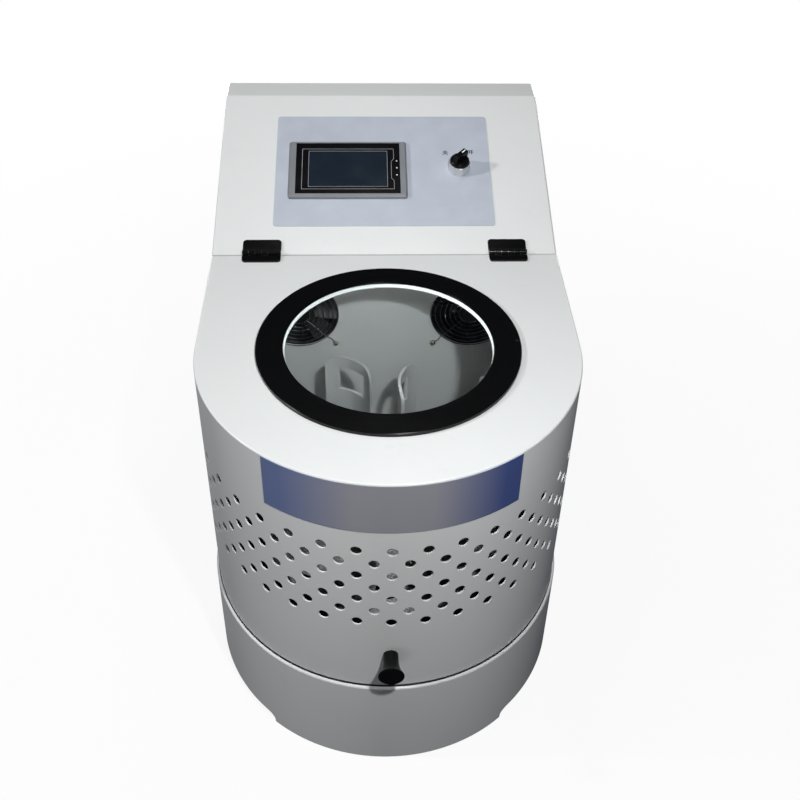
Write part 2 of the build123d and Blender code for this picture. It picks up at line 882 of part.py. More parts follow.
# ------------------------------------------------------------------ hood
lid_under = lid_height - sheet
with BuildPart() as hood_lid:
    with BuildSketch(Plane.XY.offset(lid_under)):
        add(bay(hood_radius, hood_reach))
    extrude(amount=sheet)
    top_edges = hood_lid.edges().group_by(Axis.Z)[-1]
    fillet(top_edges.sort_by(lambda edge: edge.center().Y)[:-1], lid_edge_radius)
    # window opening with its edge turned down
    with BuildSketch(Plane.XY.offset(lid_under - window_flange)):
        with Locations((0, shaft_y)):
            Circle(window_bore + window_flange_wall)
    extrude(amount=window_flange)
    with BuildSketch(Plane.XY.offset(lid_under - window_flange)):
        with Locations((0, shaft_y)):
            Circle(window_bore)
    extrude(amount=window_flange + sheet, mode=Mode.SUBTRACT)
    with BuildSketch(lid_plane):
        with Locations((0, shaft_y)):
            with PolarLocations(ring_screw_circle, ring_screws):
                Circle(ring_screw_radius)
    extrude(amount=-sheet, mode=Mode.SUBTRACT)
save(hood_lid.part, "hood_lid")

hole_places = []
for column in range(-hole_columns, hole_columns + 1):
    angle = math.radians(hole_step_angle * column)
    outward = Vector(math.sin(angle), -math.cos(angle), 0)
    for row in range(column % 2, hole_rows, 2):
        spot = Vector(0, shaft_y, lid_height - hole_drop - hole_half_row * row)
        hole_places.append(Plane(origin=spot + outward * hood_radius, z_dir=outward))

with BuildPart() as hood_wall:
    with BuildSketch(Plane.XY.offset(hood_bottom)):
        add(bay(hood_radius, hood_reach))
        add(bay(hood_radius - sheet, hood_reach + sheet), mode=Mode.SUBTRACT)
    extrude(amount=lid_under - hood_bottom)
    # hem turned inwards along the lower edge
    with BuildSketch(Plane.XY.offset(hood_bottom)):
        add(bay(hood_radius - sheet, hood_reach))
        add(bay(hood_radius - sheet - hem_width, hood_reach + sheet), mode=Mode.SUBTRACT)
    extrude(amount=sheet)
    with Locations(*hole_places):
        Cylinder(hole_radius, 4 * sheet, mode=Mode.SUBTRACT)
    with Locations(Plane(origin=(0, shaft_y - hood_radius, knob_height), z_dir=(0, -1, 0))):
        Cylinder(knob_stud + sheet_gap, 4 * sheet, mode=Mode.SUBTRACT)
save(hood_wall.part, "hood_wall")

with BuildPart() as hood_label:
    with BuildSketch(Plane.XY.offset(lid_under - label_height)):
        with Locations((0, shaft_y)):
            Circle(hood_radius + sheet_gap + label_thickness)
            Circle(hood_radius + sheet_gap, mode=Mode.SUBTRACT)
        # sector that ends the band on both sides
        wedge = 2 * hood_radius
        sweep_x = wedge * math.sin(math.radians(label_angle))
        sweep_y = wedge * math.cos(math.radians(label_angle))
        with BuildLine():
            Polyline(
                (0, shaft_y),
                (-sweep_x, shaft_y - sweep_y),
                (sweep_x, shaft_y - sweep_y),
                close=True,
            )
        make_face(mode=Mode.INTERSECT)
    extrude(amount=label_height)
save(hood_label.part, "hood_label")

ring_top = lid_height + ring_thickness
ring_screw_spots = []
for screw in range(ring_screws):
    angle = 2 * math.pi * screw / ring_screws
    ring_screw_spots.append(
        (ring_screw_circle * math.cos(angle), shaft_y + ring_screw_circle * math.sin(angle))
    )


def screw_profile(play, length):
    """Countersunk screw, or its hole with play added, reaching length above the lid's top."""
    return [
        (0, lid_height + length),
        (ring_screw_radius + play, lid_height + length),
        (ring_screw_radius + play, ring_top - ring_screw_cone),
        (ring_screw_head + play, ring_top),
        (0, ring_top),
    ]


with BuildPart() as window_ring:
    turn(
        [
            (ring_bore, lid_height + pane_thickness),
            (ring_bore, ring_top - ring_edge),
            (ring_bore + ring_edge, ring_top),
            (ring_radius - ring_edge, ring_top),
            (ring_radius, ring_top - ring_edge),
            (ring_radius, lid_height),
            (pane_radius + sheet_gap, lid_height),
            (pane_radius + sheet_gap, lid_height + pane_thickness),
        ],
        main_axis,
    )
    for x, y in ring_screw_spots:
        turn(screw_profile(sheet_gap / 2, -sheet), upright_axis(x, y), mode=Mode.SUBTRACT)
save(window_ring.part, "window_ring")

with BuildPart() as window_pane:
    turn(
        disc_profile(pane_radius, lid_height, lid_height + pane_thickness, pane_edge),
        main_axis,
    )
save(window_pane.part, "window_pane")

with BuildPart() as window_screws:
    for x, y in ring_screw_spots:
        turn(screw_profile(0, -2 * sheet), upright_axis(x, y))
        with BuildSketch(Plane.XY.offset(ring_top)):
            with Locations((x, y)):
                RegularPolygon(ring_socket_radius, 6)
        extrude(amount=-ring_socket_depth, mode=Mode.SUBTRACT)
save(window_screws.part, "window_screws")

knob_axis = forward_axis(0, shaft_y - hood_radius, knob_height)
with BuildPart() as hood_knob:
    with BuildSketch(knob_axis) as knob_section:
        with BuildLine():
            neck = Line((knob_neck, 0), (knob_neck, knob_neck_length))
            flare = TangentArc(
                neck @ 1, (knob_rim, knob_length - 2 * knob_edge), tangent=(0, 1)
            )
            Polyline(
                flare @ 1,
                (knob_rim, knob_length - knob_edge),
                (knob_rim - knob_edge, knob_length),
                (0, knob_length),
                (0, knob_thread),
                (knob_stud, knob_thread),
                (knob_stud, 0),
                (knob_neck, 0),
            )
        make_face()
    revolve(axis=Axis(knob_axis.origin, knob_axis.y_dir))
save(hood_knob.part, "hood_knob")

with BuildPart() as knob_screw:
    turn(
        [
            (0, knob_thread),
            (knob_stud, knob_thread),
            (knob_stud, -sheet - sheet_gap),
            (2 * knob_stud, -sheet - sheet_gap),
            (2 * knob_stud, -sheet - knob_washer),
            (0, -sheet - knob_washer),
        ],
        knob_axis,
    )
save(knob_screw.part, "knob_screw")

# ------------------------------------------------------------------ main drive
housing_top = gear_top
with BuildPart() as bearing_housing:
    turn(
        [
            (main_bearing_radius, housing_foot),
            (housing_radius, housing_foot),
            (housing_radius, deck_top),
            (housing_flange, deck_top),
            (housing_flange, deck_top + housing_flange_thickness),
            (housing_radius, deck_top + housing_flange_thickness),
            (housing_radius, gear_height),
            (gear_seat_radius, gear_height),
            (gear_seat_radius, housing_top),
            (main_bearing_radius, housing_top),
            (main_bearing_radius, housing_top - main_bearing_width),
            (shaft_radius + housing_relief, housing_top - main_bearing_width),
            (shaft_radius + housing_relief, housing_foot + main_bearing_width),
            (main_bearing_radius, housing_foot + main_bearing_width),
        ],
        main_axis,
    )
    with BuildSketch(Plane.XY.offset(deck_top)):
        with Locations((0, shaft_y)):
            with PolarLocations(housing_bolt_circle, housing_bolts):
                Circle(bolt_radius + sheet_gap)
    extrude(amount=housing_flange_thickness, mode=Mode.SUBTRACT)
save(bearing_housing.part, "bearing_housing")

with BuildPart() as housing_screws:
    for screw in range(housing_bolts):
        angle = 2 * math.pi * screw / housing_bolts
        x = housing_bolt_circle * math.cos(angle)
        y = shaft_y + housing_bolt_circle * math.sin(angle)
        flange_top = deck_top + housing_flange_thickness
        with BuildSketch(Plane.XY.offset(flange_top)):
            with Locations((x, y)):
                RegularPolygon(bolt_head, 6)
        extrude(amount=bolt_head_height)
        with BuildSketch(Plane.XY.offset(deck_top)):
            with Locations((x, y)):
                Circle(bolt_radius)
        extrude(amount=housing_flange_thickness)
save(housing_screws.part, "housing_screws")

with BuildPart() as main_bearings:
    for low in (housing_foot, housing_top - main_bearing_width):
        turn(
            bearing_profile(shaft_radius + running_gap, main_bearing_radius, low, main_bearing_width),
            main_axis,
        )
save(main_bearings.part, "main_bearings")

with BuildPart() as sun_gear:
    with BuildSketch(Plane.XY.offset(gear_height)):
        add(gear_face(sun_teeth, 0, shaft_y, 0, gear_seat_radius))
    extrude(amount=gear_width)
save(sun_gear.part, "sun_gear")

planet_places = {}
for name, (azimuth, ear_direction) in holder_places.items():
    planet_x = orbit_radius * math.cos(math.radians(azimuth))
    planet_y = shaft_y + orbit_radius * math.sin(math.radians(azimuth))
    planet_places[name] = (planet_x, planet_y)

with BuildPart() as turntable:
    turn(
        disc_profile(
            turntable_radius, turntable_height, turntable_top, turntable_edge, shaft_radius
        ),
        main_axis,
    )
    with BuildSketch(Plane.XY.offset(turntable_height)):
        with Locations(*planet_places.values()):
            Circle(planet_bearing_radius)
        with Locations((0, shaft_y)):
            with PolarLocations(lightening_circle, 4):
                Circle(lightening_radius)
    extrude(amount=turntable_thickness, mode=Mode.SUBTRACT)
save(turntable.part, "turntable")

nut_low = turntable_top
nut_high = nut_low + cap_nut_hexagon + cap_nut_dome / 2
with BuildPart() as main_shaft:
    turn(
        [
            (0, shaft_foot),
            (shaft_radius, shaft_foot),
            (shaft_radius, housing_top + sheet_gap),
            (shaft_radius + shaft_collar, housing_top + sheet_gap),
            (shaft_radius + shaft_collar, turntable_height),
            (shaft_radius, turntable_height),
            (shaft_radius, nut_low),
            (cap_nut_thread, nut_low),
            (cap_nut_thread, nut_high),
            (0, nut_high),
        ],
        main_axis,
    )
save(main_shaft.part, "main_shaft")

with BuildPart() as cap_nut:
    with BuildSketch(Plane.XY.offset(nut_low)):
        with Locations((0, shaft_y)):
            RegularPolygon(cap_nut_radius, 6)
    extrude(amount=cap_nut_hexagon)
    with BuildSketch(main_axis):
        with Locations((0, nut_low + cap_nut_hexagon)):
            Circle(cap_nut_dome)
            Rectangle(
                2 * cap_nut_dome,
                2 * cap_nut_dome,
                align=(Align.MAX, Align.CENTER),
                mode=Mode.SUBTRACT,
            )
            Rectangle(
                2 * cap_nut_dome,
                2 * cap_nut_dome,
                align=(Align.CENTER, Align.MAX),
                mode=Mode.SUBTRACT,
            )
    revolve(axis=Axis(main_axis.origin, main_axis.y_dir))
    turn(
        [
            (0, nut_low),
            (cap_nut_thread, nut_low),
            (cap_nut_thread, nut_high),
            (0, nut_high),
        ],
        main_axis,
        mode=Mode.SUBTRACT,
    )
save(cap_nut.part, "cap_nut")

with BuildPart() as main_pulley:
    turn(
        webbed_pulley(main_pulley_radius, shaft_radius, 2 * shaft_radius, housing_foot - sheet_gap),
        main_axis,
    )
save(main_pulley.part, "main_pulley")

with BuildPart() as planet_bearings:
    for x, y in planet_places.values():
        turn(
            bearing_profile(
                planet_shaft_radius + running_gap,
                planet_bearing_radius,
                turntable_height,
                turntable_thickness,
            ),
            upright_axis(x, y),
        )
save(planet_bearings.part, "planet_bearings")


# ------------------------------------------------------------------ planets
def planet_spindle(x, y):
    """Shaft that carries a gear under the turntable and a jar holder over it."""
    shoulder = planet_shaft_radius + spindle_shoulder
    nut_foot = gear_height - spindle_nut
    with BuildPart() as spindle:
        turn(
            [
                (0, nut_foot),
                (shoulder, nut_foot),
                (shoulder, gear_height),
                (planet_shaft_radius, gear_height),
                (planet_shaft_radius, turntable_top + sheet_gap),
                (shoulder, turntable_top + sheet_gap),
                (shoulder, holder_bottom),
                (planet_shaft_radius, holder_bottom),
                (planet_shaft_radius, cup_floor - spindle_shoulder),
                (0, cup_floor - spindle_shoulder),
            ],
            upright_axis(x, y),
        )
    return spindle.part


def planet_pinion(x, y, azimuth):
    """Gear whose tooth points at the main shaft, with a spacer up to the turntable's bearing."""
    with BuildPart() as pinion:
        with BuildSketch(Plane.XY.offset(gear_height)):
            add(gear_face(planet_teeth, x, y, azimuth + 180, planet_shaft_radius))
        extrude(amount=gear_width)
        turn(
            [
                (planet_shaft_radius, gear_top),
                (planet_shaft_radius + spindle_shoulder, gear_top),
                (planet_shaft_radius + spindle_shoulder, turntable_height - sheet_gap),
                (planet_shaft_radius, turntable_height - sheet_gap),
            ],
            upright_axis(x, y),
        )
    return pinion.part


def jar_holder(x, y, ear_direction):
    """Cup with two tall slotted ears bent to the same round, facing each other."""
    turned = math.radians(ear_direction)
    gate = Plane(
        origin=(x, y, 0),
        x_dir=(-math.sin(turned), math.cos(turned), 0),
        z_dir=(math.cos(turned), math.sin(turned), 0),
    )
    cup_rim = cup_floor + cup_depth
    wide = cup_radius + cup_wall
    with BuildPart() as holder:
        with BuildSketch(Plane.XY.offset(cup_floor)):
            with Locations((x, y)):
                Circle(cup_radius)
                Circle(cup_radius - cup_wall, mode=Mode.SUBTRACT)
        extrude(amount=ear_top - cup_floor)
        # low wall all round, rising to an ear at each side
        with BuildSketch(gate):
            with BuildLine():
                Polyline(
                    (-wide, cup_floor),
                    (-wide, cup_rim),
                    (-ear_half_width, cup_rim),
                    (-ear_half_width, ear_top),
                    (ear_half_width, ear_top),
                    (ear_half_width, cup_rim),
                    (wide, cup_rim),
                    (wide, cup_floor),
                    close=True,
                )
            face = make_face()
            fillet(face.vertices().group_by(Axis.Y)[-1], ear_corner)
            roots = face.vertices().group_by(Axis.Y)[1].sort_by(Axis.X)[1:-1]
            fillet(roots, ear_root)
            with Locations((0, ear_top - slot_drop - slot_height / 2)):
                Rectangle(slot_width, slot_height, mode=Mode.SUBTRACT)
        extrude(amount=wide, both=True, mode=Mode.INTERSECT)
        turn(
            disc_profile(cup_radius, holder_bottom, cup_floor, cup_edge),
            upright_axis(x, y),
        )
        turn(
            [
                (0, holder_bottom),
                (planet_shaft_radius, holder_bottom),
                (planet_shaft_radius, cup_floor - spindle_shoulder),
                (0, cup_floor - spindle_shoulder),
            ],
            upright_axis(x, y),
            mode=Mode.SUBTRACT,
        )
    return holder.part


for name, (azimuth, ear_direction) in holder_places.items():
    x, y = planet_places[name]
    save(planet_spindle(x, y), "spindle_" + name)
    save(planet_pinion(x, y, azimuth), "planet_gear_" + name)
    save(jar_holder(x, y, ear_direction), "jar_holder_" + name)

# ------------------------------------------------------------------ motor and belt
motor_bottom = deck_top + housing_flange_thickness
motor_top = deck_top + motor_height
cowl_low = motor_top - motor_cowl
with BuildPart() as drive_motor:
    with BuildSketch(Plane.XY.offset(deck_top)):
        with Locations((0, back(motor_reach))):
            RectangleRounded(motor_flange, motor_flange, foot_radius)
    extrude(amount=housing_flange_thickness)
    turn(
        [
            (0, motor_bottom),
            (motor_radius, motor_bottom),
            (motor_radius, cowl_low),
            (motor_radius + fin_rise, cowl_low),
            (motor_radius + fin_rise, motor_top - fin_rise),
            (motor_radius, motor_top),
            (0, motor_top),
        ],
        motor_axis,
    )
    with BuildSketch(Plane.XY.offset(motor_bottom + fin_rise)):
        with Locations((0, back(motor_reach))):
            with PolarLocations(motor_radius, motor_fins):
                Rectangle(2 * fin_rise, fin_thickness)
    extrude(amount=cowl_low - motor_bottom - 2 * fin_rise)
    turn(
        [
            (0, deck_top),
            (motor_shaft_radius + running_gap, deck_top),
            (motor_shaft_radius + running_gap, motor_bottom + motor_cowl),
            (0, motor_bottom + motor_cowl),
        ],
        motor_axis,
        mode=Mode.SUBTRACT,
    )
save(drive_motor.part, "drive_motor")

with BuildPart() as motor_shaft:
    turn(
        disc_profile(
            motor_shaft_radius, shaft_foot, motor_bottom + motor_cowl - sheet_gap, shaft_edge
        ),
        motor_axis,
    )
save(motor_shaft.part, "motor_shaft")

with BuildPart() as motor_pulley:
    bore_foot = (motor_shaft_radius, pulley_height)
    bore_top = (motor_shaft_radius, pulley_height + pulley_width)
    turn([bore_foot] + pulley_rim(motor_pulley_radius) + [bore_top], motor_axis)
save(motor_pulley.part, "motor_pulley")


def belt_loop(rise):
    """Outline that wraps both pulleys, this far outside their running faces."""
    with BuildSketch() as loop:
        with Locations((0, shaft_y)):
            Circle(main_pulley_radius + rise)
        with Locations((0, back(motor_reach))):
            Circle(motor_pulley_radius + rise)
        make_hull()
    return loop.sketch


with BuildPart() as drive_belt:
    belt_low = pulley_height + pulley_flange + sheet_gap
    with BuildSketch(Plane.XY.offset(belt_low)):
        add(belt_loop(belt_gap + belt_thickness))
        add(belt_loop(belt_gap), mode=Mode.SUBTRACT)
    extrude(amount=pulley_width - 2 * (pulley_flange + sheet_gap))
save(drive_belt.part, "drive_belt")

with BuildPart() as speed_inverter:
    with BuildSketch(Plane.XY.offset(deck_top)):
        with Locations((inverter_x, back(inverter_reach))):
            RectangleRounded(inverter_width, inverter_depth, ear_root)
    extrude(amount=inverter_height)
    with BuildSketch(Plane.XY.offset(deck_top + inverter_height)):
        with Locations((inverter_x, back(inverter_reach))):
            with GridLocations(inverter_width / inverter_fins, 0, inverter_fins, 1):
                Rectangle(fin_thickness, inverter_depth - 2 * ear_root)
    extrude(amount=2 * fin_rise)
save(speed_inverter.part, "speed_inverter")

# ------------------------------------------------------------------ fans
fan_places = {"left": -fan_x, "right": fan_x}
screw_circle = fan_screw_offset * math.sqrt(2)
guard_front = console_reach - sheet - guard_wire
rotor_rear = console_reach + fan_depth - fan_back - sheet_gap

with BuildPart() as fan_guards:
    with BuildSketch(facing(console_reach - sheet)):
        for x in fan_places.values():
            with Locations((x, fan_z)):
                for ring in range(guard_rings):
                    mid_line = guard_radius - guard_wire / 2 - ring * guard_pitch
                    Circle(mid_line + guard_wire / 2)
                    Circle(mid_line - guard_wire / 2, mode=Mode.SUBTRACT)
            with Locations((x, fan_z)):
                with PolarLocations((screw_circle + mid_line) / 2, 4, start_angle=45):
                    Rectangle(screw_circle - mid_line, guard_wire)
                with PolarLocations(screw_circle, 4, start_angle=45):
                    Circle(guard_eyelet)
                    Circle(fan_screw_radius, mode=Mode.SUBTRACT)
    extrude(amount=guard_wire)
save(fan_guards.part, "fan_guards")

with BuildPart() as fan_frames:
    for x in fan_places.values():
        with BuildSketch(facing(console_reach)):
            with Locations((x, fan_z)):
                RectangleRounded(fan_size, fan_size, fan_corner)
                Circle(fan_bore, mode=Mode.SUBTRACT)
                with GridLocations(2 * fan_screw_offset, 2 * fan_screw_offset, 2, 2):
                    Circle(fan_screw_radius, mode=Mode.SUBTRACT)
        extrude(amount=-fan_depth)
        # hub plate on four struts across the rear
        with BuildSketch(facing(console_reach + fan_depth)):
            with Locations((x, fan_z)):
                Circle(fan_hub_radius)
                with PolarLocations((fan_bore + fan_strut) / 2, 4):
                    Rectangle(fan_bore, fan_strut)
                Circle(fan_spindle + running_gap, mode=Mode.SUBTRACT)
        extrude(amount=fan_back)
save(fan_frames.part, "fan_frames")

with BuildPart() as fan_screws:
    for x in fan_places.values():
        for across in (-fan_screw_offset, fan_screw_offset):
            for up in (-fan_screw_offset, fan_screw_offset):
                turn(
                    [
                        (0, fan_screw_head),
                        (fan_screw_head, fan_screw_head / 2),
                        (fan_screw_head, 0),
                        (fan_screw_radius, 0),
                        (fan_screw_radius, back(guard_front) - back(console_reach + fan_depth)),
                        (0, back(guard_front) - back(console_reach + fan_depth)),
                    ],
                    forward_axis(x + across, back(guard_front), fan_z + up),
                )
save(fan_screws.part, "fan_screws")


def blade_plane(x, angle, radius, pitch):
    """Plane across a fan blade at this radius; its X runs along the pitched chord."""
    outward = Vector(math.cos(angle), 0, math.sin(angle))
    around = Vector(-math.sin(angle), 0, math.cos(angle))
    chord = around * math.cos(math.radians(pitch)) + Vector(0, math.sin(math.radians(pitch)), 0)
    middle = Vector(x, back((console_reach + rotor_rear) / 2), fan_z)
    return Plane(origin=middle + outward * radius, x_dir=chord, z_dir=outward)


def fan_rotor(x):
    """Hub with a short spindle behind it and a ring of twisted blades."""
    with BuildPart() as rotor:
        for blade in range(fan_blades):
            angle = 2 * math.pi * blade / fan_blades
            with BuildSketch(blade_plane(x, angle, fan_hub_radius - fan_strut, fan_root_pitch)):
                Rectangle(fan_root_chord, fan_blade_thickness)
            with BuildSketch(blade_plane(x, angle, fan_bore, fan_tip_pitch)):
                Rectangle(fan_tip_chord, fan_blade_thickness)
            loft()
        # blade tips rounded off to clear the frame
        with BuildSketch(facing(console_reach)):
            with Locations((x, fan_z)):
                Circle(fan_bore - fan_tip_gap)
        extrude(amount=-fan_depth, mode=Mode.INTERSECT)
        turn(
            [
                (0, 0),
                (fan_hub_radius, 0),
                (fan_hub_radius, rotor_rear - console_reach - fan_hub_step),
                (0, rotor_rear - console_reach - fan_hub_step),
            ],
            forward_axis(x, back(rotor_rear), fan_z),
        )
        turn(
            [
                (0, 0),
                (fan_spindle, 0),
                (fan_spindle, -fan_back),
                (0, -fan_back),
            ],
            forward_axis(x, back(rotor_rear), fan_z),
        )
    return rotor.part


for name, x in fan_places.items():
    save(fan_rotor(x), "fan_rotor_" + name)
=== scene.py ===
"""Looks of a bench planetary ball mill, dressed round its CAD frame. Metres, +Z up."""

import math

import bmesh
import bpy
from mathutils import Matrix, Vector


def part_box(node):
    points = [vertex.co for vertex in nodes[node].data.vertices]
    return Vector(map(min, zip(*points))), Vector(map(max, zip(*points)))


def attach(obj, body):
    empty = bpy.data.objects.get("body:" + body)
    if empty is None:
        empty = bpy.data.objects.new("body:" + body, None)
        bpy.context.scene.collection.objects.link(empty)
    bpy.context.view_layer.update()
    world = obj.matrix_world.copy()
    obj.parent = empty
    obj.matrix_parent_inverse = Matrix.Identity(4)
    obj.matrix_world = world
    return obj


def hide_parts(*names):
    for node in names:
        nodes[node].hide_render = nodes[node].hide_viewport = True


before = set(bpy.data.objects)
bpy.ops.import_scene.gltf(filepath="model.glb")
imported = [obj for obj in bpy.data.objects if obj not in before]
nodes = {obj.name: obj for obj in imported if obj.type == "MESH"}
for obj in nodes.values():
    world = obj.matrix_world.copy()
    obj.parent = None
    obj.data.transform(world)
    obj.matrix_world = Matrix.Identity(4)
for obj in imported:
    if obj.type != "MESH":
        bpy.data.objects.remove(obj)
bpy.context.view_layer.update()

# ------------------------------------------------------------------ sizes
wall_low, wall_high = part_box("hood_wall")
skirt_low, skirt_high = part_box("base_skirt")
lid_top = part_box("hood_lid")[1].z
flange_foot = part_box("hood_lid")[0].z
panel_low, panel_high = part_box("partition_panel")
sheet = panel_high.y - panel_low.y
hood_radius = (wall_high.x - wall_low.x) / 2
base_radius = (skirt_high.x - skirt_low.x) / 2
shaft_y = wall_low.y + hood_radius
hood_rear = wall_high.y
seam = wall_low.z
window_bore = 0.1265
fold = 0.0022                # outside radius of the folded edges
hem = 0.010                  # hood's lower edge turned in
hole_radius = 0.0065
hole_angle = math.radians(5)
hole_rise = 0.0208
hole_drop = 0.1065           # top row of holes below the lid
hole_columns = 17            # each side of the middle one
hole_rows = 7
hole_margin = 0.0012
rim_width = 0.0035            # base's upper edge folded in to this width
rim_depth = 0.008
notch_height = 0.0155
notch_corner = 0.010
notch_front = skirt_low.y + base_radius * (1 - math.cos(math.radians(40.4)))
notch_rear = skirt_high.y - 0.070

# control slope: u across, v up the slope from its front edge
slope_run, slope_rise = 0.293, 0.0935
slope_length = math.hypot(slope_run, slope_rise)
slope_origin = Vector((0, shaft_y + 0.202, lid_top))
slope_up = Vector((0, slope_run, slope_rise)) / slope_length
slope_out = Vector((0, -slope_rise, slope_run)) / slope_length
plate_top = 0.001
face_top = plate_top + 0.006


# ------------------------------------------------------------------ materials
class Paint:
    """Builds one node material round a Principled shader."""

    def __init__(self, name):
        self.material = bpy.data.materials.new(name)
        self.material.use_nodes = True
        self.tree = self.material.node_tree
        self.tree.nodes.clear()
        self.shader = self.add("ShaderNodeBsdfPrincipled")
        self.output = self.add("ShaderNodeOutputMaterial")
        self.link(self.shader.outputs[0], self.output.inputs["Surface"])
        self.coords = self.add("ShaderNodeTexCoord").outputs["Object"]

    def add(self, kind, **settings):
        node = self.tree.nodes.new(kind)
        for key, value in settings.items():
            setattr(node, key, value)
        return node

    def link(self, source, target):
        self.tree.links.new(source, target)

    def set(self, **values):
        for key, value in values.items():
            self.shader.inputs[key.replace("_", " ")].default_value = value
        return self

    def stretched(self, scale, turn=(0, 0, 0), shift=(0, 0, 0)):
        mapping = self.add("ShaderNodeMapping")
        mapping.inputs["Scale"].default_value = scale
        mapping.inputs["Rotation"].default_value = turn
        mapping.inputs["Location"].default_value = shift
        self.link(self.coords, mapping.inputs["Vector"])
        return mapping.outputs["Vector"]

    def noise(self, scale, detail=3.0, rough=0.5, vector=None):
        node = self.add("ShaderNodeTexNoise")
        node.inputs["Scale"].default_value = scale
        node.inputs["Detail"].default_value = detail
        node.inputs["Roughness"].default_value = rough
        self.link(vector or self.coords, node.inputs["Vector"])
        return node.outputs["Fac"]

    def remap(self, source, low, high, to_low, to_high):
        node = self.add("ShaderNodeMapRange")
        node.inputs["From Min"].default_value = low
        node.inputs["From Max"].default_value = high
        node.inputs["To Min"].default_value = to_low
        node.inputs["To Max"].default_value = to_high
        self.link(source, node.inputs["Value"])
        return node.outputs["Result"]

    def blend(self, share, first, second):
        """Colour socket between two colours or sockets."""
        node = self.add("ShaderNodeMix", data_type="RGBA")
        self.link(share, node.inputs["Factor"])
        for socket, value in ((node.inputs[6], first), (node.inputs[7], second)):
            if isinstance(value, tuple):
                socket.default_value = (*value, 1)
            else:
                self.link(value, socket)
        return node.outputs[2]

    def bump(self, height, distance, strength=1.0):
        node = self.add("ShaderNodeBump")
        node.inputs["Distance"].default_value = distance
        node.inputs["Strength"].default_value = strength
        self.link(height, node.inputs["Height"])
        self.link(node.outputs["Normal"], self.shader.inputs["Normal"])
        return self

    def colour(self, socket):
        self.link(socket, self.shader.inputs["Base Color"])
        return self

    def rough(self, source, low, high):
        self.link(self.remap(source, 0.3, 0.7, low, high), self.shader.inputs["Roughness"])
        return self


def shade(colour, factor):
    return tuple(c * factor for c in colour)


def powder_coat(name, colour, low=0.34, high=0.46):
    """Sprayed and baked paint: orange peel, slight mottling, faint handling marks."""
    paint = Paint(name)
    peel = paint.noise(520, 2)
    broad = paint.noise(7, 4)
    marks = paint.remap(paint.noise(26, 8, 0.72), 0.60, 0.78, 0.0, 1.0)
    base = paint.blend(paint.remap(broad, 0.3, 0.7, 0, 1), colour, shade(colour, 0.965))
    paint.colour(paint.blend(marks, base, shade(colour, 0.93)))
    paint.rough(broad, low, high)
    paint.bump(peel, 0.00010, 0.55)
    return paint.set(Coat_Weight=0.18, Coat_Roughness=0.22).material


def moulded(name, colour, low=0.38, high=0.52, grain=900):
    """Moulded plastic with a fine spark-eroded grain."""
    paint = Paint(name)
    fine = paint.noise(grain, 4, 0.6)
    broad = paint.noise(30, 3)
    paint.colour(paint.blend(broad, colour, shade(colour, 1.25)))
    paint.rough(broad, low, high)
    return paint.bump(fine, 0.00006, 0.6).material


def gloss_black(name, colour, low=0.08, high=0.2, shine=0.3):
    """Polished plastic or stoved enamel with fine dust and wiping marks."""
    paint = Paint(name)
    wiping = paint.noise(14, 5, 0.6, paint.stretched((1, 2.5, 1), (0, 0, 0.5)))
    dust = paint.remap(paint.noise(700, 6, 0.8), 0.68, 0.80, 0.0, 0.4)
    paint.colour(paint.blend(dust, colour, (0.10, 0.10, 0.105)))
    paint.rough(wiping, low, high)
    paint.bump(paint.noise(60, 2), 0.00002, 0.2)
    return paint.set(Specular_IOR_Level=shine).material


def brushed(name, colour, low=0.22, high=0.4, stretch=(1, 1, 40), grain=300):
    """Ground or drawn steel with fine lines one way."""
    paint = Paint(name)
    lines = paint.noise(grain, 4, 0.6, paint.stretched(stretch))
    broad = paint.noise(24, 4)
    paint.colour(paint.blend(broad, colour, shade(colour, 0.85)))
    paint.rough(lines, low, high)
    paint.bump(lines, 0.00003, 0.5)
    return paint.set(Metallic=1.0).material


def turned_aluminium(name, colour, centre):
    """Faced on a lathe: fine rings round the main shaft."""
    paint = Paint(name)
    spot = paint.stretched((1, 1, 1), shift=(-centre[0], -centre[1], 0))
    rings = paint.add("ShaderNodeTexWave", wave_type="RINGS", rings_direction="Z")
    rings.inputs["Scale"].default_value = 260
    rings.inputs["Distortion"].default_value = 0.6
    rings.inputs["Detail"].default_value = 2
    paint.link(spot, rings.inputs["Vector"])
    broad = paint.noise(12, 4)
    paint.colour(paint.blend(broad, colour, shade(colour, 0.86)))
    paint.rough(rings.outputs["Fac"], 0.26, 0.42)
    paint.bump(rings.outputs["Fac"], 0.00003, 0.5)
    return paint.set(Metallic=1.0).material


def cast_metal(name, colour, low=0.45, high=0.65):
    """Sand-cast and painted metal: pitted skin and uneven tone."""
    paint = Paint(name)
    skin = paint.noise(260, 6, 0.65)
    broad = paint.noise(14, 5)
    paint.colour(paint.blend(broad, colour, shade(colour, 0.8)))
    paint.rough(skin, low, high)
    return paint.bump(skin, 0.00025, 0.5).material


def rubber(name):
    paint = Paint(name)
    fine = paint.noise(600, 5, 0.7)
    paint.colour(paint.blend(paint.noise(20, 4), (0.018, 0.018, 0.019), (0.035, 0.035, 0.036)))
    paint.rough(fine, 0.6, 0.8)
    return paint.bump(fine, 0.00012, 0.5).material


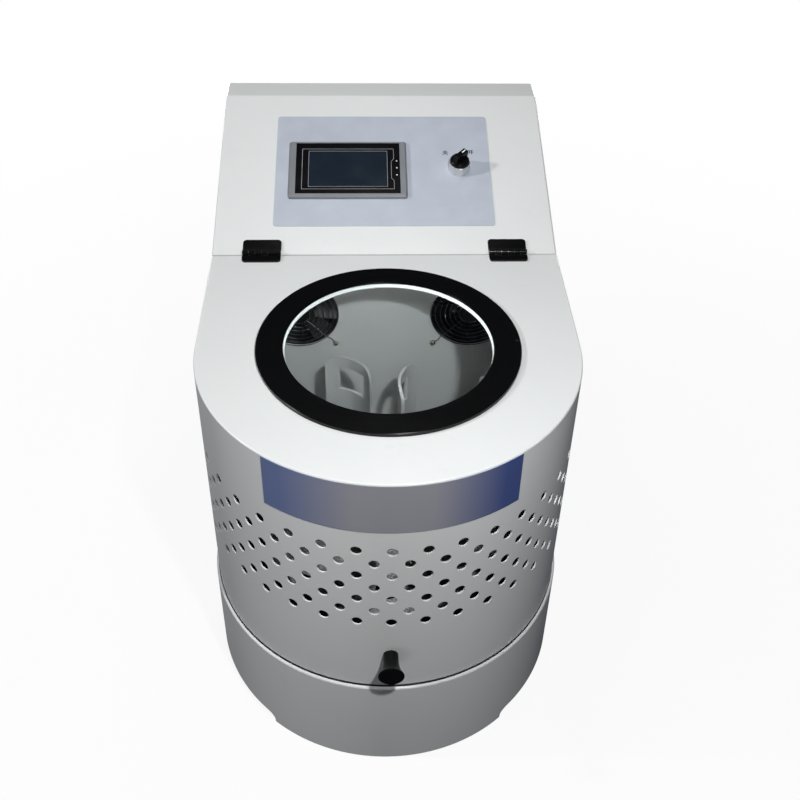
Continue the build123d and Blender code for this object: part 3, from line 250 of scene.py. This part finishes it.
def label_with_painted_reflection(name):
    """Satin film, silver-grey in the middle; the blue towards both sides is a painted reflection of
    bluish surroundings, with the right side darker as painted shade.
    """
    paint = Paint(name)
    split = paint.add("ShaderNodeSeparateXYZ")
    paint.link(paint.coords, split.inputs[0])
    distance = paint.add("ShaderNodeMath", operation="ABSOLUTE")
    paint.link(split.outputs["X"], distance.inputs[0])
    # share of the painted reflection, growing away from the middle
    share = paint.remap(distance.outputs[0], 0.045, 0.125, 0.0, 1.0)
    tone = paint.blend(paint.noise(9, 3), (0.42, 0.42, 0.47), (0.46, 0.46, 0.51))
    # painted shade: the right side of the label is darker than the left
    side = paint.remap(split.outputs["X"], -0.06, 0.06, 0.0, 1.0)
    # painted reflection: bluish colour for both sides of the label
    painted_reflection_and_shade = paint.blend(side, (0.20, 0.26, 0.50), (0.085, 0.13, 0.36))
    paint.colour(paint.blend(share, tone, painted_reflection_and_shade))
    paint.rough(paint.noise(30, 5), 0.3, 0.42)
    paint.bump(paint.noise(900, 3), 0.00003, 0.4)
    return paint.set(Metallic=0.25).material


def clear_pane(name):
    """Clear plastic sheet that lets lamps through, with a few fine wiping marks."""
    paint = Paint(name)
    paint.set(Base_Color=(0.93, 0.96, 0.96, 1), Transmission_Weight=1.0, IOR=1.45)
    marks = paint.noise(12, 8, 0.7, paint.stretched((1, 5, 1), (0, 0, 0.6)))
    paint.link(paint.remap(marks, 0.45, 0.8, 0.0, 0.06), paint.shader.inputs["Roughness"])
    clear = paint.add("ShaderNodeBsdfTransparent")
    clear.inputs["Color"].default_value = (0.93, 0.95, 0.95, 1)
    path = paint.add("ShaderNodeLightPath")
    mix = paint.add("ShaderNodeMixShader")
    paint.link(path.outputs["Is Shadow Ray"], mix.inputs[0])
    paint.link(paint.shader.outputs[0], mix.inputs[1])
    paint.link(clear.outputs[0], mix.inputs[2])
    paint.link(mix.outputs[0], paint.output.inputs["Surface"])
    return paint.material


def dark_display(name):
    """Unlit display behind glass: deep blue-grey of a slightly uneven tone."""
    paint = Paint(name)
    paint.colour(paint.blend(paint.noise(22, 4), (0.010, 0.016, 0.026), (0.016, 0.026, 0.040)))
    paint.rough(paint.noise(40, 4), 0.10, 0.18)
    paint.bump(paint.noise(900, 2), 0.00001, 0.2)
    return paint.set(Coat_Weight=0.5, Coat_Roughness=0.05).material


white = powder_coat("white_powder_coat", (0.80, 0.82, 0.815))
chamber_grey = powder_coat("grey_powder_coat", (0.54, 0.545, 0.54), 0.42, 0.55)
holder_grey = powder_coat("holder_enamel", (0.48, 0.485, 0.48), 0.32, 0.45)
plate_print = moulded("printed_plate", (0.44, 0.48, 0.55), 0.36, 0.46, 1400)
bezel_grey = moulded("bezel_plastic", (0.19, 0.20, 0.215), 0.34, 0.46)
black_face = gloss_black("face_film", (0.004, 0.004, 0.005), 0.16, 0.22)
black_ring = gloss_black("window_ring_black", (0.0035, 0.0037, 0.004), 0.16, 0.20)
black_knob = gloss_black("black_plastic", (0.005, 0.005, 0.0055), 0.20, 0.28, 0.12)
fan_black = moulded("fan_plastic", (0.006, 0.006, 0.006), 0.5, 0.6)
black_hinge = gloss_black("hinge_enamel", (0.004, 0.004, 0.0045), 0.14, 0.24)
steel = brushed("ground_steel", (0.56, 0.57, 0.58))
bright = brushed("bright_plate", (0.80, 0.81, 0.82), 0.07, 0.16, (1, 1, 1), 80)
satin_chrome = brushed("satin_collar", (0.86, 0.86, 0.86), 0.42, 0.52, (1, 1, 12), 200)
zinc = brushed("zinc_plate", (0.60, 0.62, 0.63), 0.35, 0.5, (1, 30, 1), 120)
# dark tone of the faced aluminium: painted shade, so the turntable seen through the hood's holes
# reads dark; the pulleys share it
turned = turned_aluminium("faced_aluminium", (0.30, 0.305, 0.31), (0, shaft_y))
iron = cast_metal("painted_casting", (0.16, 0.18, 0.20))
motor_paint = cast_metal("motor_enamel", (0.09, 0.14, 0.19), 0.38, 0.5)
black_rubber = rubber("black_rubber")
# near-black painted shade for the hood's inside and the deck plate, so the chamber and the holes
# read dark
painted_shade_black = cast_metal("painted_shade_inside", (0.02, 0.02, 0.021), 0.6, 0.75)
yellow_zinc = brushed("yellow_zinc", (0.80, 0.77, 0.58), 0.24, 0.34, (1, 1, 1), 200)
label_film = label_with_painted_reflection("label_film")
pane = clear_pane("clear_pane")
display = dark_display("dark_display")
lamp_lens = moulded("lamp_lens", (0.75, 0.78, 0.76), 0.2, 0.3)
ink_grey = moulded("light_ink", (0.30, 0.31, 0.33), 0.4, 0.5)
ink_black = moulded("black_ink", (0.012, 0.012, 0.014), 0.4, 0.5)
mark_white = moulded("white_mark", (0.82, 0.82, 0.82), 0.35, 0.45)


# ------------------------------------------------------------------ mesh helpers
def piece(name, verts, faces, material, body, smooth=True):
    """New mesh object that rides on a body and takes its finish from a slot."""
    mesh = bpy.data.meshes.new(name)
    mesh.from_pydata([tuple(v) for v in verts], [], faces)
    mesh.materials.append(material)
    edit = bmesh.new()
    edit.from_mesh(mesh)
    bmesh.ops.recalc_face_normals(edit, faces=edit.faces)
    edit.to_mesh(mesh)
    edit.free()
    if smooth:
        mesh.shade_smooth()
    made = bpy.data.objects.new(name, mesh)
    bpy.context.scene.collection.objects.link(made)
    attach(made, body)
    return made


def even_normals(made):
    normals = made.modifiers.new("even_normals", "WEIGHTED_NORMAL")
    normals.keep_sharp = True


def round_edges(made, name, width, angle):
    """Bevels edges sharper than an angle in degrees, then evens the shading."""
    bevel = made.modifiers.new(name, "BEVEL")
    bevel.width = width
    bevel.segments = 2
    bevel.limit_method = "ANGLE"
    bevel.angle_limit = math.radians(angle)
    even_normals(made)


def soften(name, width):
    """Rounds the sharp edges of a CAD node as it shows, leaving its own mesh alone."""
    node = nodes[name]
    weld = node.modifiers.new("weld", "WELD")
    weld.merge_threshold = 1e-6
    round_edges(node, "round_edges", width, 35)
    for polygon in node.data.polygons:
        polygon.use_smooth = True


def finish_node(name, material):
    node = nodes[name]
    node.data.materials.clear()
    node.data.materials.append(material)


def strip(loops, closed=False):
    """Faces between neighbouring loops of vertex numbers."""
    faces = []
    for first, second in zip(loops, loops[1:]):
        count = len(first)
        for k in range(count if closed else count - 1):
            following = (k + 1) % count
            faces.append((first[k], first[following], second[following], second[k]))
    return faces


def on_slope(u, v, rise=0.0):
    return slope_origin + Vector((u, 0, 0)) + slope_up * v + slope_out * rise


# ------------------------------------------------------------------ hood shell
def outline(radius, s, inset, z):
    """Point s metres along a half-round outline from its front, inset from its face."""
    arc = math.pi / 2 * radius
    if abs(s) <= arc:
        angle = s / radius
        reach = radius - inset
        return Vector((reach * math.sin(angle), shaft_y - reach * math.cos(angle), z))
    return Vector((math.copysign(radius - inset, s), shaft_y + abs(s) - arc, z))


def quarter(radius, steps=5):
    """Inset and drop along a rounded edge, from its face to its top."""
    turns = [math.pi / 2 * k / steps for k in range(steps + 1)]
    return [(radius * (1 - math.cos(t)), radius * (1 - math.sin(t))) for t in turns]


def hood_shell():
    """Lid, window rim and perforated wall as one skin of painted sheet."""
    pitch = hood_radius * hole_angle
    part = 8                    # grid steps across one hole's cell, and up it
    arc = math.pi / 2 * hood_radius
    half = [pitch / part * k for k in range(round(arc / pitch * part) + 1)]
    half += [arc + (hood_rear - shaft_y) * k / part for k in range(1, part + 1)]
    stations = [-s for s in reversed(half[1:])] + half
    middle = len(half) - 1
    top_row = lid_top - hole_drop
    band_low = top_row - hole_rows * hole_rise
    band = [band_low + hole_rise * 2 / part * k for k in range((hole_rows + 1) * part // 2 + 1)]
    levels = [seam + fold, (seam + fold + band_low) / 2] + band + [lid_top - fold]
    first = 2                   # level at which the band starts

    verts = []
    grid = {}
    covered = set()
    inner = set()
    holes = []
    for column in range(-hole_columns, hole_columns + 1):
        for row in range(column % 2, hole_rows, 2):
            i = middle + column * part
            j = first + (hole_rows - row) * part // 2
            holes.append((i, j, column * pitch, top_row - row * hole_rise))
            span = range(-part // 2, part // 2)
            covered.update((i + a, j + b) for a in span for b in span)
            inner.update((i + a, j + b) for a in span[1:] for b in span[1:])

    def spot(point):
        verts.append(point)
        return len(verts) - 1

    for i, s in enumerate(stations):
        for j, z in enumerate(levels):
            if (i, j) not in inner:
                grid[i, j] = spot(outline(hood_radius, s, 0, z))
    faces = []
    for i in range(len(stations) - 1):
        for j in range(len(levels) - 1):
            if (i, j) not in covered:
                faces.append((grid[i, j], grid[i + 1, j], grid[i + 1, j + 1], grid[i, j + 1]))

    side = part // 2
    rim_walk = [(a, -side) for a in range(-side, side)] + [(side, b) for b in range(-side, side)]
    rim_walk += [(-a, side) for a in range(-side, side)] + [(-side, -b) for b in range(-side, side)]
    for i, j, s, z in holes:
        cell = [grid[i + a, j + b] for a, b in rim_walk]
        turns = [math.atan2(b, a) for a, b in rim_walk]
        rings = [cell]
        for radius in (hole_radius + hole_margin, hole_radius):
            rings.append(
                [
                    spot(
                        outline(hood_radius, s + radius * math.cos(t), 0, z + radius * math.sin(t))
                    )
                    for t in turns
                ]
            )
        faces += strip(rings, closed=True)

    # hem turned in along the lower edge
    count = len(stations)
    hem_profile = [(inset, seam + drop) for inset, drop in quarter(fold)[1:]] + [(hem, seam)]
    loops = [[grid[i, 0] for i in range(count)]]
    for inset, z in hem_profile:
        loops.append([spot(outline(hood_radius, s, inset, z)) for s in stations])
    faces += strip(loops)

    # rounded edge up to the lid, then across the lid to the window
    last = len(levels) - 1
    loops = [[grid[i, last] for i in range(count)]]
    for inset, drop in quarter(fold)[1:]:
        loops.append([spot(outline(hood_radius, s, inset, lid_top - drop)) for s in stations])
    faces += strip(loops)
    rear_steps = 24
    width = hood_radius - fold
    rear = [
        spot(Vector((width - 2 * width * k / rear_steps, hood_rear, lid_top)))
        for k in range(1, rear_steps)
    ]
    border = loops[-1] + rear
    headings = [math.atan2(verts[k].y - shaft_y, verts[k].x) for k in border]
    window = [(window_bore + fold, lid_top)]
    window += [
        (window_bore + fold - inset, lid_top - fold + rise)
        for rise, inset in quarter(fold)[-2::-1]
    ]
    window += [(window_bore, flange_foot)]
    loops = [border]
    for radius, z in window:
        loops.append(
            [
                spot(Vector((radius * math.cos(t), shaft_y + radius * math.sin(t), z)))
                for t in headings
            ]
        )
    faces += strip(loops, closed=True)

    shell = piece("hood_shell", verts, faces, white, "hood")
    # the inside face of the sheet takes the near-black painted shade
    shell.data.materials.append(painted_shade_black)
    thick = shell.modifiers.new("sheet", "SOLIDIFY")
    thick.thickness = sheet
    thick.offset = -1
    thick.material_offset = 1
    thick.material_offset_rim = 0
    round_edges(shell, "lips", 0.00045, 50)
    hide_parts("hood_wall", "hood_lid")


# ------------------------------------------------------------------ base skirt
def base_shell():
    """Skirt with a rolled rim and a finger notch along each side."""
    arc = math.pi / 2 * base_radius
    rear_y = skirt_high.y
    low = skirt_low.z
    edge = 0.0002               # the outline is cut this far either side of a notch's end

    def along(y):
        """Distance along the outline from the front to the place at this Y."""
        if y < shaft_y:
            return base_radius * math.acos((shaft_y - y) / base_radius)
        return arc + y - shaft_y

    def foot(s):
        y = outline(base_radius, s, 0, 0).y
        run = min(y - notch_front, notch_rear - y)
        if run <= 0:
            return low
        if run >= notch_corner:
            return notch_height
        return notch_height - notch_corner + math.sqrt(notch_corner**2 - (notch_corner - run) ** 2)

    arc_steps, side_steps, corner_steps = 96, 16, 8
    half = [arc * k / arc_steps for k in range(arc_steps + 1)]
    half += [
        along(shaft_y + (rear_y - shaft_y) * k / side_steps) for k in range(1, side_steps + 1)
    ]
    for end, way in ((notch_front, 1), (notch_rear, -1)):
        half.append(along(end - way * edge))
        half += [
            along(end + way * (edge + notch_corner * (k / corner_steps) ** 2))
            for k in range(corner_steps + 1)
        ]
    half = sorted(set(round(s, 6) for s in half))
    stations = [-s for s in reversed(half[1:])] + half
    rim = quarter(0.0030, 5)
    inside = quarter(0.0005, 2)
    profile = [(0, None), (0, notch_height + fold)]
    profile += [(inset, skirt_high.z - drop) for inset, drop in rim]
    profile += [(rim_width - inset, skirt_high.z - drop) for inset, drop in reversed(inside)]
    profile += [(rim_width, skirt_high.z - rim_depth), (sheet, skirt_high.z - rim_depth - 0.001)]
    profile += [(sheet, notch_height + fold), (sheet, None)]

    rear_steps = 12
    verts = []
    loops = []
    for inset, z in profile:
        loop = []
        for s in stations:
            verts.append(outline(base_radius, s, inset, foot(s) if z is None else z))
            loop.append(len(verts) - 1)
        # across the rear, from the right corner to the left one
        for k in range(rear_steps + 1):
            x = (base_radius - inset) * (1 - 2 * k / rear_steps)
            verts.append(Vector((x, rear_y - inset, low if z is None else z)))
            loop.append(len(verts) - 1)
        loops.append(loop)
    loops.append(loops[0])
    skirt = piece("base_shell", verts, strip(loops, closed=True), white, "base")
    round_edges(skirt, "edges", 0.0004, 50)
    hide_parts("base_skirt")


# ------------------------------------------------------------------ control panel
def line_on_slope(name, points, width, rise, height, material):
    """Thin raised line round a closed path of (u, v) points on the slope."""
    count = len(points)
    verts = []
    for k, (u, v) in enumerate(points):
        before = points[k - 1]
        after = points[(k + 1) % count]
        into = Vector((u - before[0], v - before[1])).normalized()
        out = Vector((after[0] - u, after[1] - v)).normalized()
        tangent = (into + out).normalized()
        side = Vector((-tangent.y, tangent.x))
        reach = width / 2 / abs(side.dot(Vector((-out.y, out.x))))
        for sign in (-1, 1):
            for up in (0, height):
                shift = side * (sign * reach)
                verts.append(on_slope(u + shift.x, v + shift.y, rise + up))
    faces = []
    for k in range(count):
        a, b = 4 * k, 4 * ((k + 1) % count)
        faces += [(a, a + 1, b + 1, b), (a + 1, a + 3, b + 3, b + 1)]
        faces += [(a + 3, a + 2, b + 2, b + 3), (a + 2, a, b, b + 2)]
    piece(name, verts, faces, material, "base", smooth=False)


def panel_lines():
    line_width, line_height = 0.0006, 0.00012
    screen_u, screen_v = -0.0507, 0.1514
    half_u, half_v = 0.0563, 0.0341
    line_on_slope(
        "screen_outline",
        [
            (screen_u - half_u, screen_v - half_v),
            (screen_u + half_u, screen_v - half_v),
            (screen_u + half_u, screen_v + half_v),
            (screen_u - half_u, screen_v + half_v),
        ],
        line_width, face_top, line_height, ink_grey,
    )
    left, right, low, high = -0.1163, 0.0149, 0.1125, 0.1898
    step_u, step_low, step_high = 0.0114, 0.1326, 0.1653
    slant_low, slant_high = 0.0042, 0.0048
    line_on_slope(
        "face_outline",
        [
            (left, low),
            (right, low),
            (right, step_low - slant_low),
            (step_u, step_low),
            (step_u, step_high),
            (right, step_high + slant_high),
            (right, high),
            (left, high),
        ],
        line_width, face_top, line_height, ink_grey,
    )


def sign(name, strokes, u, v, height, material):
    """Printed sign on the control plate, drawn by strokes in a square of unit height."""
    stroke_width = 0.12 * height
    verts, faces = [], []
    for points in strokes:
        path = [Vector(((x - 0.5) * height, (y - 0.5) * height)) for x, y in points]
        start = len(verts)
        for k, point in enumerate(path):
            along = (path[min(k + 1, len(path) - 1)] - path[max(k - 1, 0)]).normalized()
            side = Vector((-along.y, along.x)) * stroke_width / 2
            for edge in (point - side, point + side):
                verts.append(on_slope(u + edge.x, v + edge.y, plate_top + 0.00005))
        for k in range(len(path) - 1):
            a = start + 2 * k
            faces.append((a, a + 2, a + 3, a + 1))
    made = piece(name, verts, faces, material, "base", smooth=False)
    printed = made.modifiers.new("ink", "SOLIDIFY")
    printed.thickness = 0.00004
    printed.offset = 0


# the usual two characters for off and on, as strokes
OFF_STROKES = [
    [(0.28, 0.98), (0.38, 0.80)],
    [(0.74, 0.98), (0.62, 0.80)],
    [(0.16, 0.72), (0.84, 0.72)],
    [(0.04, 0.46), (0.96, 0.46)],
    [(0.50, 0.72), (0.49, 0.46), (0.36, 0.22), (0.06, 0.02)],
    [(0.50, 0.46), (0.64, 0.22), (0.96, 0.02)],
]
ON_STROKES = [
    [(0.08, 0.90), (0.92, 0.90)],
    [(0.03, 0.52), (0.97, 0.52)],
    [(0.32, 0.90), (0.32, 0.46), (0.26, 0.22), (0.06, 0.02)],
    [(0.68, 0.90), (0.68, 0.00)],
]


# ------------------------------------------------------------------ fan guards
def wire(name, runs, thickness, material, body):
    """Round bent wire along one or more runs of points; a run may be a closed ring."""
    curve = bpy.data.curves.new(name, "CURVE")
    curve.dimensions = "3D"
    curve.bevel_depth = thickness / 2
    curve.bevel_resolution = 3
    for points, closed in runs:
        spline = curve.splines.new("POLY")
        spline.points.add(len(points) - 1)
        for target, point in zip(spline.points, points):
            target.co = (*point, 1)
        spline.use_cyclic_u = closed
        spline.use_smooth = True
    curve.materials.append(material)
    made = bpy.data.objects.new(name, curve)
    bpy.context.scene.collection.objects.link(made)
    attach(made, body)
    return made


def upright_ring(centre, radius, count):
    """Points round a circle that faces the front."""
    turns = [2 * math.pi * k / count for k in range(count)]
    return [
        (centre[0] + radius * math.cos(t), centre[1], centre[2] + radius * math.sin(t))
        for t in turns
    ]


def fan_guards():
    """Chromed finger guards: rings of wire on four bent arms that end in eyelets."""
    low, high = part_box("fan_guards")
    centre_z = (low.z + high.z) / 2
    front = low.y
    thick = high.y - low.y
    ring_count, ring_pitch, outer_ring = 7, 0.0068, 0.0570
    screw = 0.0525               # half the distance between a fan's screws
    fan_x = 0.1224
    eyelet = 0.0036
    bend_start, bend_end, arm_rise, arm_shift = 0.060, 0.0635, 0.0670, 0.0016
    mid = front + thick / 2
    runs = []
    for x in (-fan_x, fan_x):
        for ring in range(ring_count):
            radius = outer_ring - ring * ring_pitch
            runs.append((upright_ring((x, mid, centre_z), radius, 72), True))
        hub = Vector((x, mid, centre_z))
        start = outer_ring - (ring_count - 1) * ring_pitch
        for arm in range(4):
            turn = math.pi / 4 + math.pi / 2 * arm
            way = Vector((math.cos(turn), 0, math.sin(turn)))
            reach = screw * math.sqrt(2) - eyelet
            across = Vector((-way.z, 0, way.x)) * arm_shift
            bend = [hub + way * start, hub + way * bend_start, hub + way * bend_end + across]
            runs.append(([*bend, hub + way * arm_rise + across, hub + way * reach], False))
            runs.append((upright_ring(hub + way * (screw * math.sqrt(2)), eyelet, 20), True))
    guards = wire("finger_guards", runs, thick, bright, "base")
    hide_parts("fan_guards")


# ------------------------------------------------------------------ finishes of the CAD nodes
FINISHES = {
    white: ["console_shell", "rear_panel"],
    # painted shade: the deck plate is near-black so the chamber reads dark
    painted_shade_black: ["deck_plate"],
    chamber_grey: ["partition_panel"],
    plate_print: ["control_plate"],
    bezel_grey: ["screen_bezel"],
    black_face: ["screen_face"],
    display: ["display_glass"],
    lamp_lens: ["status_lamps"],
    satin_chrome: ["switch_collar"],
    black_knob: ["switch_knob", "hood_knob"],
    fan_black: ["fan_frames", "fan_rotor_left", "fan_rotor_right", "power_inlet"],
    mark_white: ["switch_marker"],
    black_hinge: ["hood_hinge_leaves", "console_hinge_leaves"],
    black_ring: ["window_ring", "window_screws"],
    black_rubber: ["rubber_feet", "chamber_seal", "drive_belt"],
    label_film: ["hood_label"],
    pane: ["window_pane"],
    bright: ["cap_nut"],
    yellow_zinc: ["fan_screws"],
    steel: [
        "hinge_pins", "knob_screw", "housing_screws", "main_bearings", "sun_gear", "main_shaft",
        "planet_bearings", "motor_shaft",
    ],
    turned: ["turntable", "main_pulley", "motor_pulley"],
    zinc: ["base_floor"],
    iron: ["bearing_housing", "speed_inverter"],
    motor_paint: ["drive_motor"],
}
PLACES = ("rear_right", "rear_left", "front_left", "front_right")

for material, names in FINISHES.items():
    for name in names:
        finish_node(name, material)
for place in PLACES:
    finish_node("jar_holder_" + place, holder_grey)
    finish_node("planet_gear_" + place, steel)
    finish_node("spindle_" + place, steel)
    soften("jar_holder_" + place, 0.0008)

for name, width in (
    ("screen_bezel", 0.0008),
    ("control_plate", 0.0003),
    ("switch_knob", 0.0006),
    ("switch_collar", 0.0005),
    ("hood_hinge_leaves", 0.0005),
    ("console_hinge_leaves", 0.0005),
    ("fan_frames", 0.0006),
    ("power_inlet", 0.0004),
    ("drive_motor", 0.0006),
    ("speed_inverter", 0.0006),
):
    soften(name, width)

hood_shell()
base_shell()
panel_lines()
sign("sign_off", OFF_STROKES, 0.0907, 0.1882, 0.0086, ink_black)
sign("sign_on", ON_STROKES, 0.1280, 0.1889, 0.0086, ink_black)
fan_guards()


# ------------------------------------------------------------------ studio
def lamp(name, place, target, width, height, power, colour=(1, 1, 1)):
    data = bpy.data.lights.new(name, "AREA")
    data.shape = "RECTANGLE"
    data.size = width
    data.size_y = height
    data.energy = power
    data.color = colour
    made = bpy.data.objects.new(name, data)
    bpy.context.scene.collection.objects.link(made)
    made.location = place
    made.rotation_euler = (Vector(target) - Vector(place)).to_track_quat("-Z", "Y").to_euler()


def seen_share(tree):
    """One where the camera looks, straight or through the clear pane.

    Zero for lighting and in reflections, so glossy surfaces don't mirror the backdrop.
    """
    path = tree.nodes.new("ShaderNodeLightPath")
    look = tree.nodes.new("ShaderNodeMath")
    look.operation = "MAXIMUM"
    tree.links.new(path.outputs["Is Camera Ray"], look.inputs[0])
    tree.links.new(path.outputs["Is Transmission Ray"], look.inputs[1])
    bounces = tree.nodes.new("ShaderNodeMath")
    bounces.operation = "ADD"
    tree.links.new(path.outputs["Diffuse Depth"], bounces.inputs[0])
    tree.links.new(path.outputs["Glossy Depth"], bounces.inputs[1])
    first = tree.nodes.new("ShaderNodeMath")
    first.operation = "LESS_THAN"
    first.inputs[1].default_value = 0.5
    tree.links.new(bounces.outputs[0], first.inputs[0])
    both = tree.nodes.new("ShaderNodeMath")
    both.operation = "MULTIPLY"
    tree.links.new(look.outputs[0], both.inputs[0])
    tree.links.new(first.outputs[0], both.inputs[1])
    return both.outputs[0]


def pale_floor():
    """White floor that the camera sees by its own glow, with a faint shadow near the object."""
    half = 14
    mesh = bpy.data.meshes.new("floor")
    corners = [(-half, -half, 0), (half, -half, 0), (half, half, 0), (-half, half, 0)]
    mesh.from_pydata(corners, [], [(0, 1, 2, 3)])
    floor = bpy.data.objects.new("floor", mesh)
    bpy.context.scene.collection.objects.link(floor)
    paint = Paint("floor_paint")
    glow = paint.add("ShaderNodeEmission")
    seen = seen_share(paint.tree)
    paint.colour(paint.blend(seen, (0.02, 0.02, 0.03), (0.95, 0.95, 0.95)))
    paint.set(Roughness=0.9)
    share = paint.add("ShaderNodeMath", operation="MULTIPLY")
    length = paint.add("ShaderNodeVectorMath", operation="LENGTH")
    paint.link(paint.coords, length.inputs[0])
    paint.link(paint.remap(length.outputs["Value"], 0.4, 1.6, 0.90, 1.0), share.inputs[1])
    paint.link(seen, share.inputs[0])
    mix = paint.add("ShaderNodeMixShader")
    paint.link(share.outputs[0], mix.inputs[0])
    paint.link(paint.shader.outputs[0], mix.inputs[1])
    paint.link(glow.outputs[0], mix.inputs[2])
    paint.link(mix.outputs[0], paint.output.inputs["Surface"])
    mesh.materials.append(paint.material)


def studio_world():
    world = bpy.data.worlds.new("studio")
    bpy.context.scene.world = world
    world.use_nodes = True
    tree = world.node_tree
    tree.nodes.clear()
    fill = tree.nodes.new("ShaderNodeBackground")
    fill.inputs["Color"].default_value = (0.62, 0.72, 1.0, 1)
    fill.inputs["Strength"].default_value = 0.01
    back = tree.nodes.new("ShaderNodeBackground")
    back.inputs["Color"].default_value = (1, 1, 1, 1)
    back.inputs["Strength"].default_value = 1.0
    mix = tree.nodes.new("ShaderNodeMixShader")
    out = tree.nodes.new("ShaderNodeOutputWorld")
    tree.links.new(seen_share(tree), mix.inputs[0])
    tree.links.new(fill.outputs[0], mix.inputs[1])
    tree.links.new(back.outputs[0], mix.inputs[2])
    tree.links.new(mix.outputs[0], out.inputs["Surface"])


def photo_camera():
    """Camera in front of the machine, looking down on it."""
    data = bpy.data.cameras.new("camera")
    sensor = 36
    photo_focal, photo_width = 1079.85, 800     # pixels
    data.sensor_width = sensor
    data.lens = photo_focal / photo_width * sensor
    data.shift_y = -0.05
    made = bpy.data.objects.new("camera", data)
    bpy.context.scene.collection.objects.link(made)
    right = Vector((0.99936, -0.03155, 0.01663)).normalized()
    forward = Vector((0.03498, 0.77606, -0.62969)).normalized()
    up = right.cross(forward).normalized()
    place = Vector((-0.03228, shaft_y - 1.03071, 1.33057))
    made.matrix_world = Matrix(
        (
            (right.x, up.x, -forward.x, place.x),
            (right.y, up.y, -forward.y, place.y),
            (right.z, up.z, -forward.z, place.z),
            (0, 0, 0, 1),
        )
    )
    bpy.context.scene.camera = made


pale_floor()
studio_world()
photo_camera()
lamp("key", (0.195, -0.960, 1.460), (0, -0.1, 0.4), 0.05, 0.05, 12.6)
lamp("left_flash", (-2.12, -0.32, 1.96), (0, 0, 0.45), 0.15, 0.15, 27.0)
lamp("overhead", (0, 0.29, 1.5), (0, 0.29, 0.3), 0.3, 0.3, 2.3)
lamp("front_fill", (-0.35, -2.3, 0.30), (0, -0.1, 0.3), 1.0, 0.4, 2.8)
lamp("right_fill", (2.0, 0.1, 0.7), (0, 0, 0.35), 0.8, 0.8, 0.8, (0.45, 0.60, 1.0))
lamp("left_fill", (-2.0, 0.1, 0.6), (0, 0, 0.35), 0.8, 0.8, 0.5, (0.50, 0.62, 1.0))
lamp("rear_right", (1.35, 2.6, 0.4), (0.1, 0.2, 0.3), 0.8, 0.6, 30.0)
lamp("rear_left", (-1.35, 2.6, 0.4), (-0.1, 0.2, 0.3), 0.8, 0.6, 30.0)
bpy.context.scene.view_settings.view_transform = "Standard"
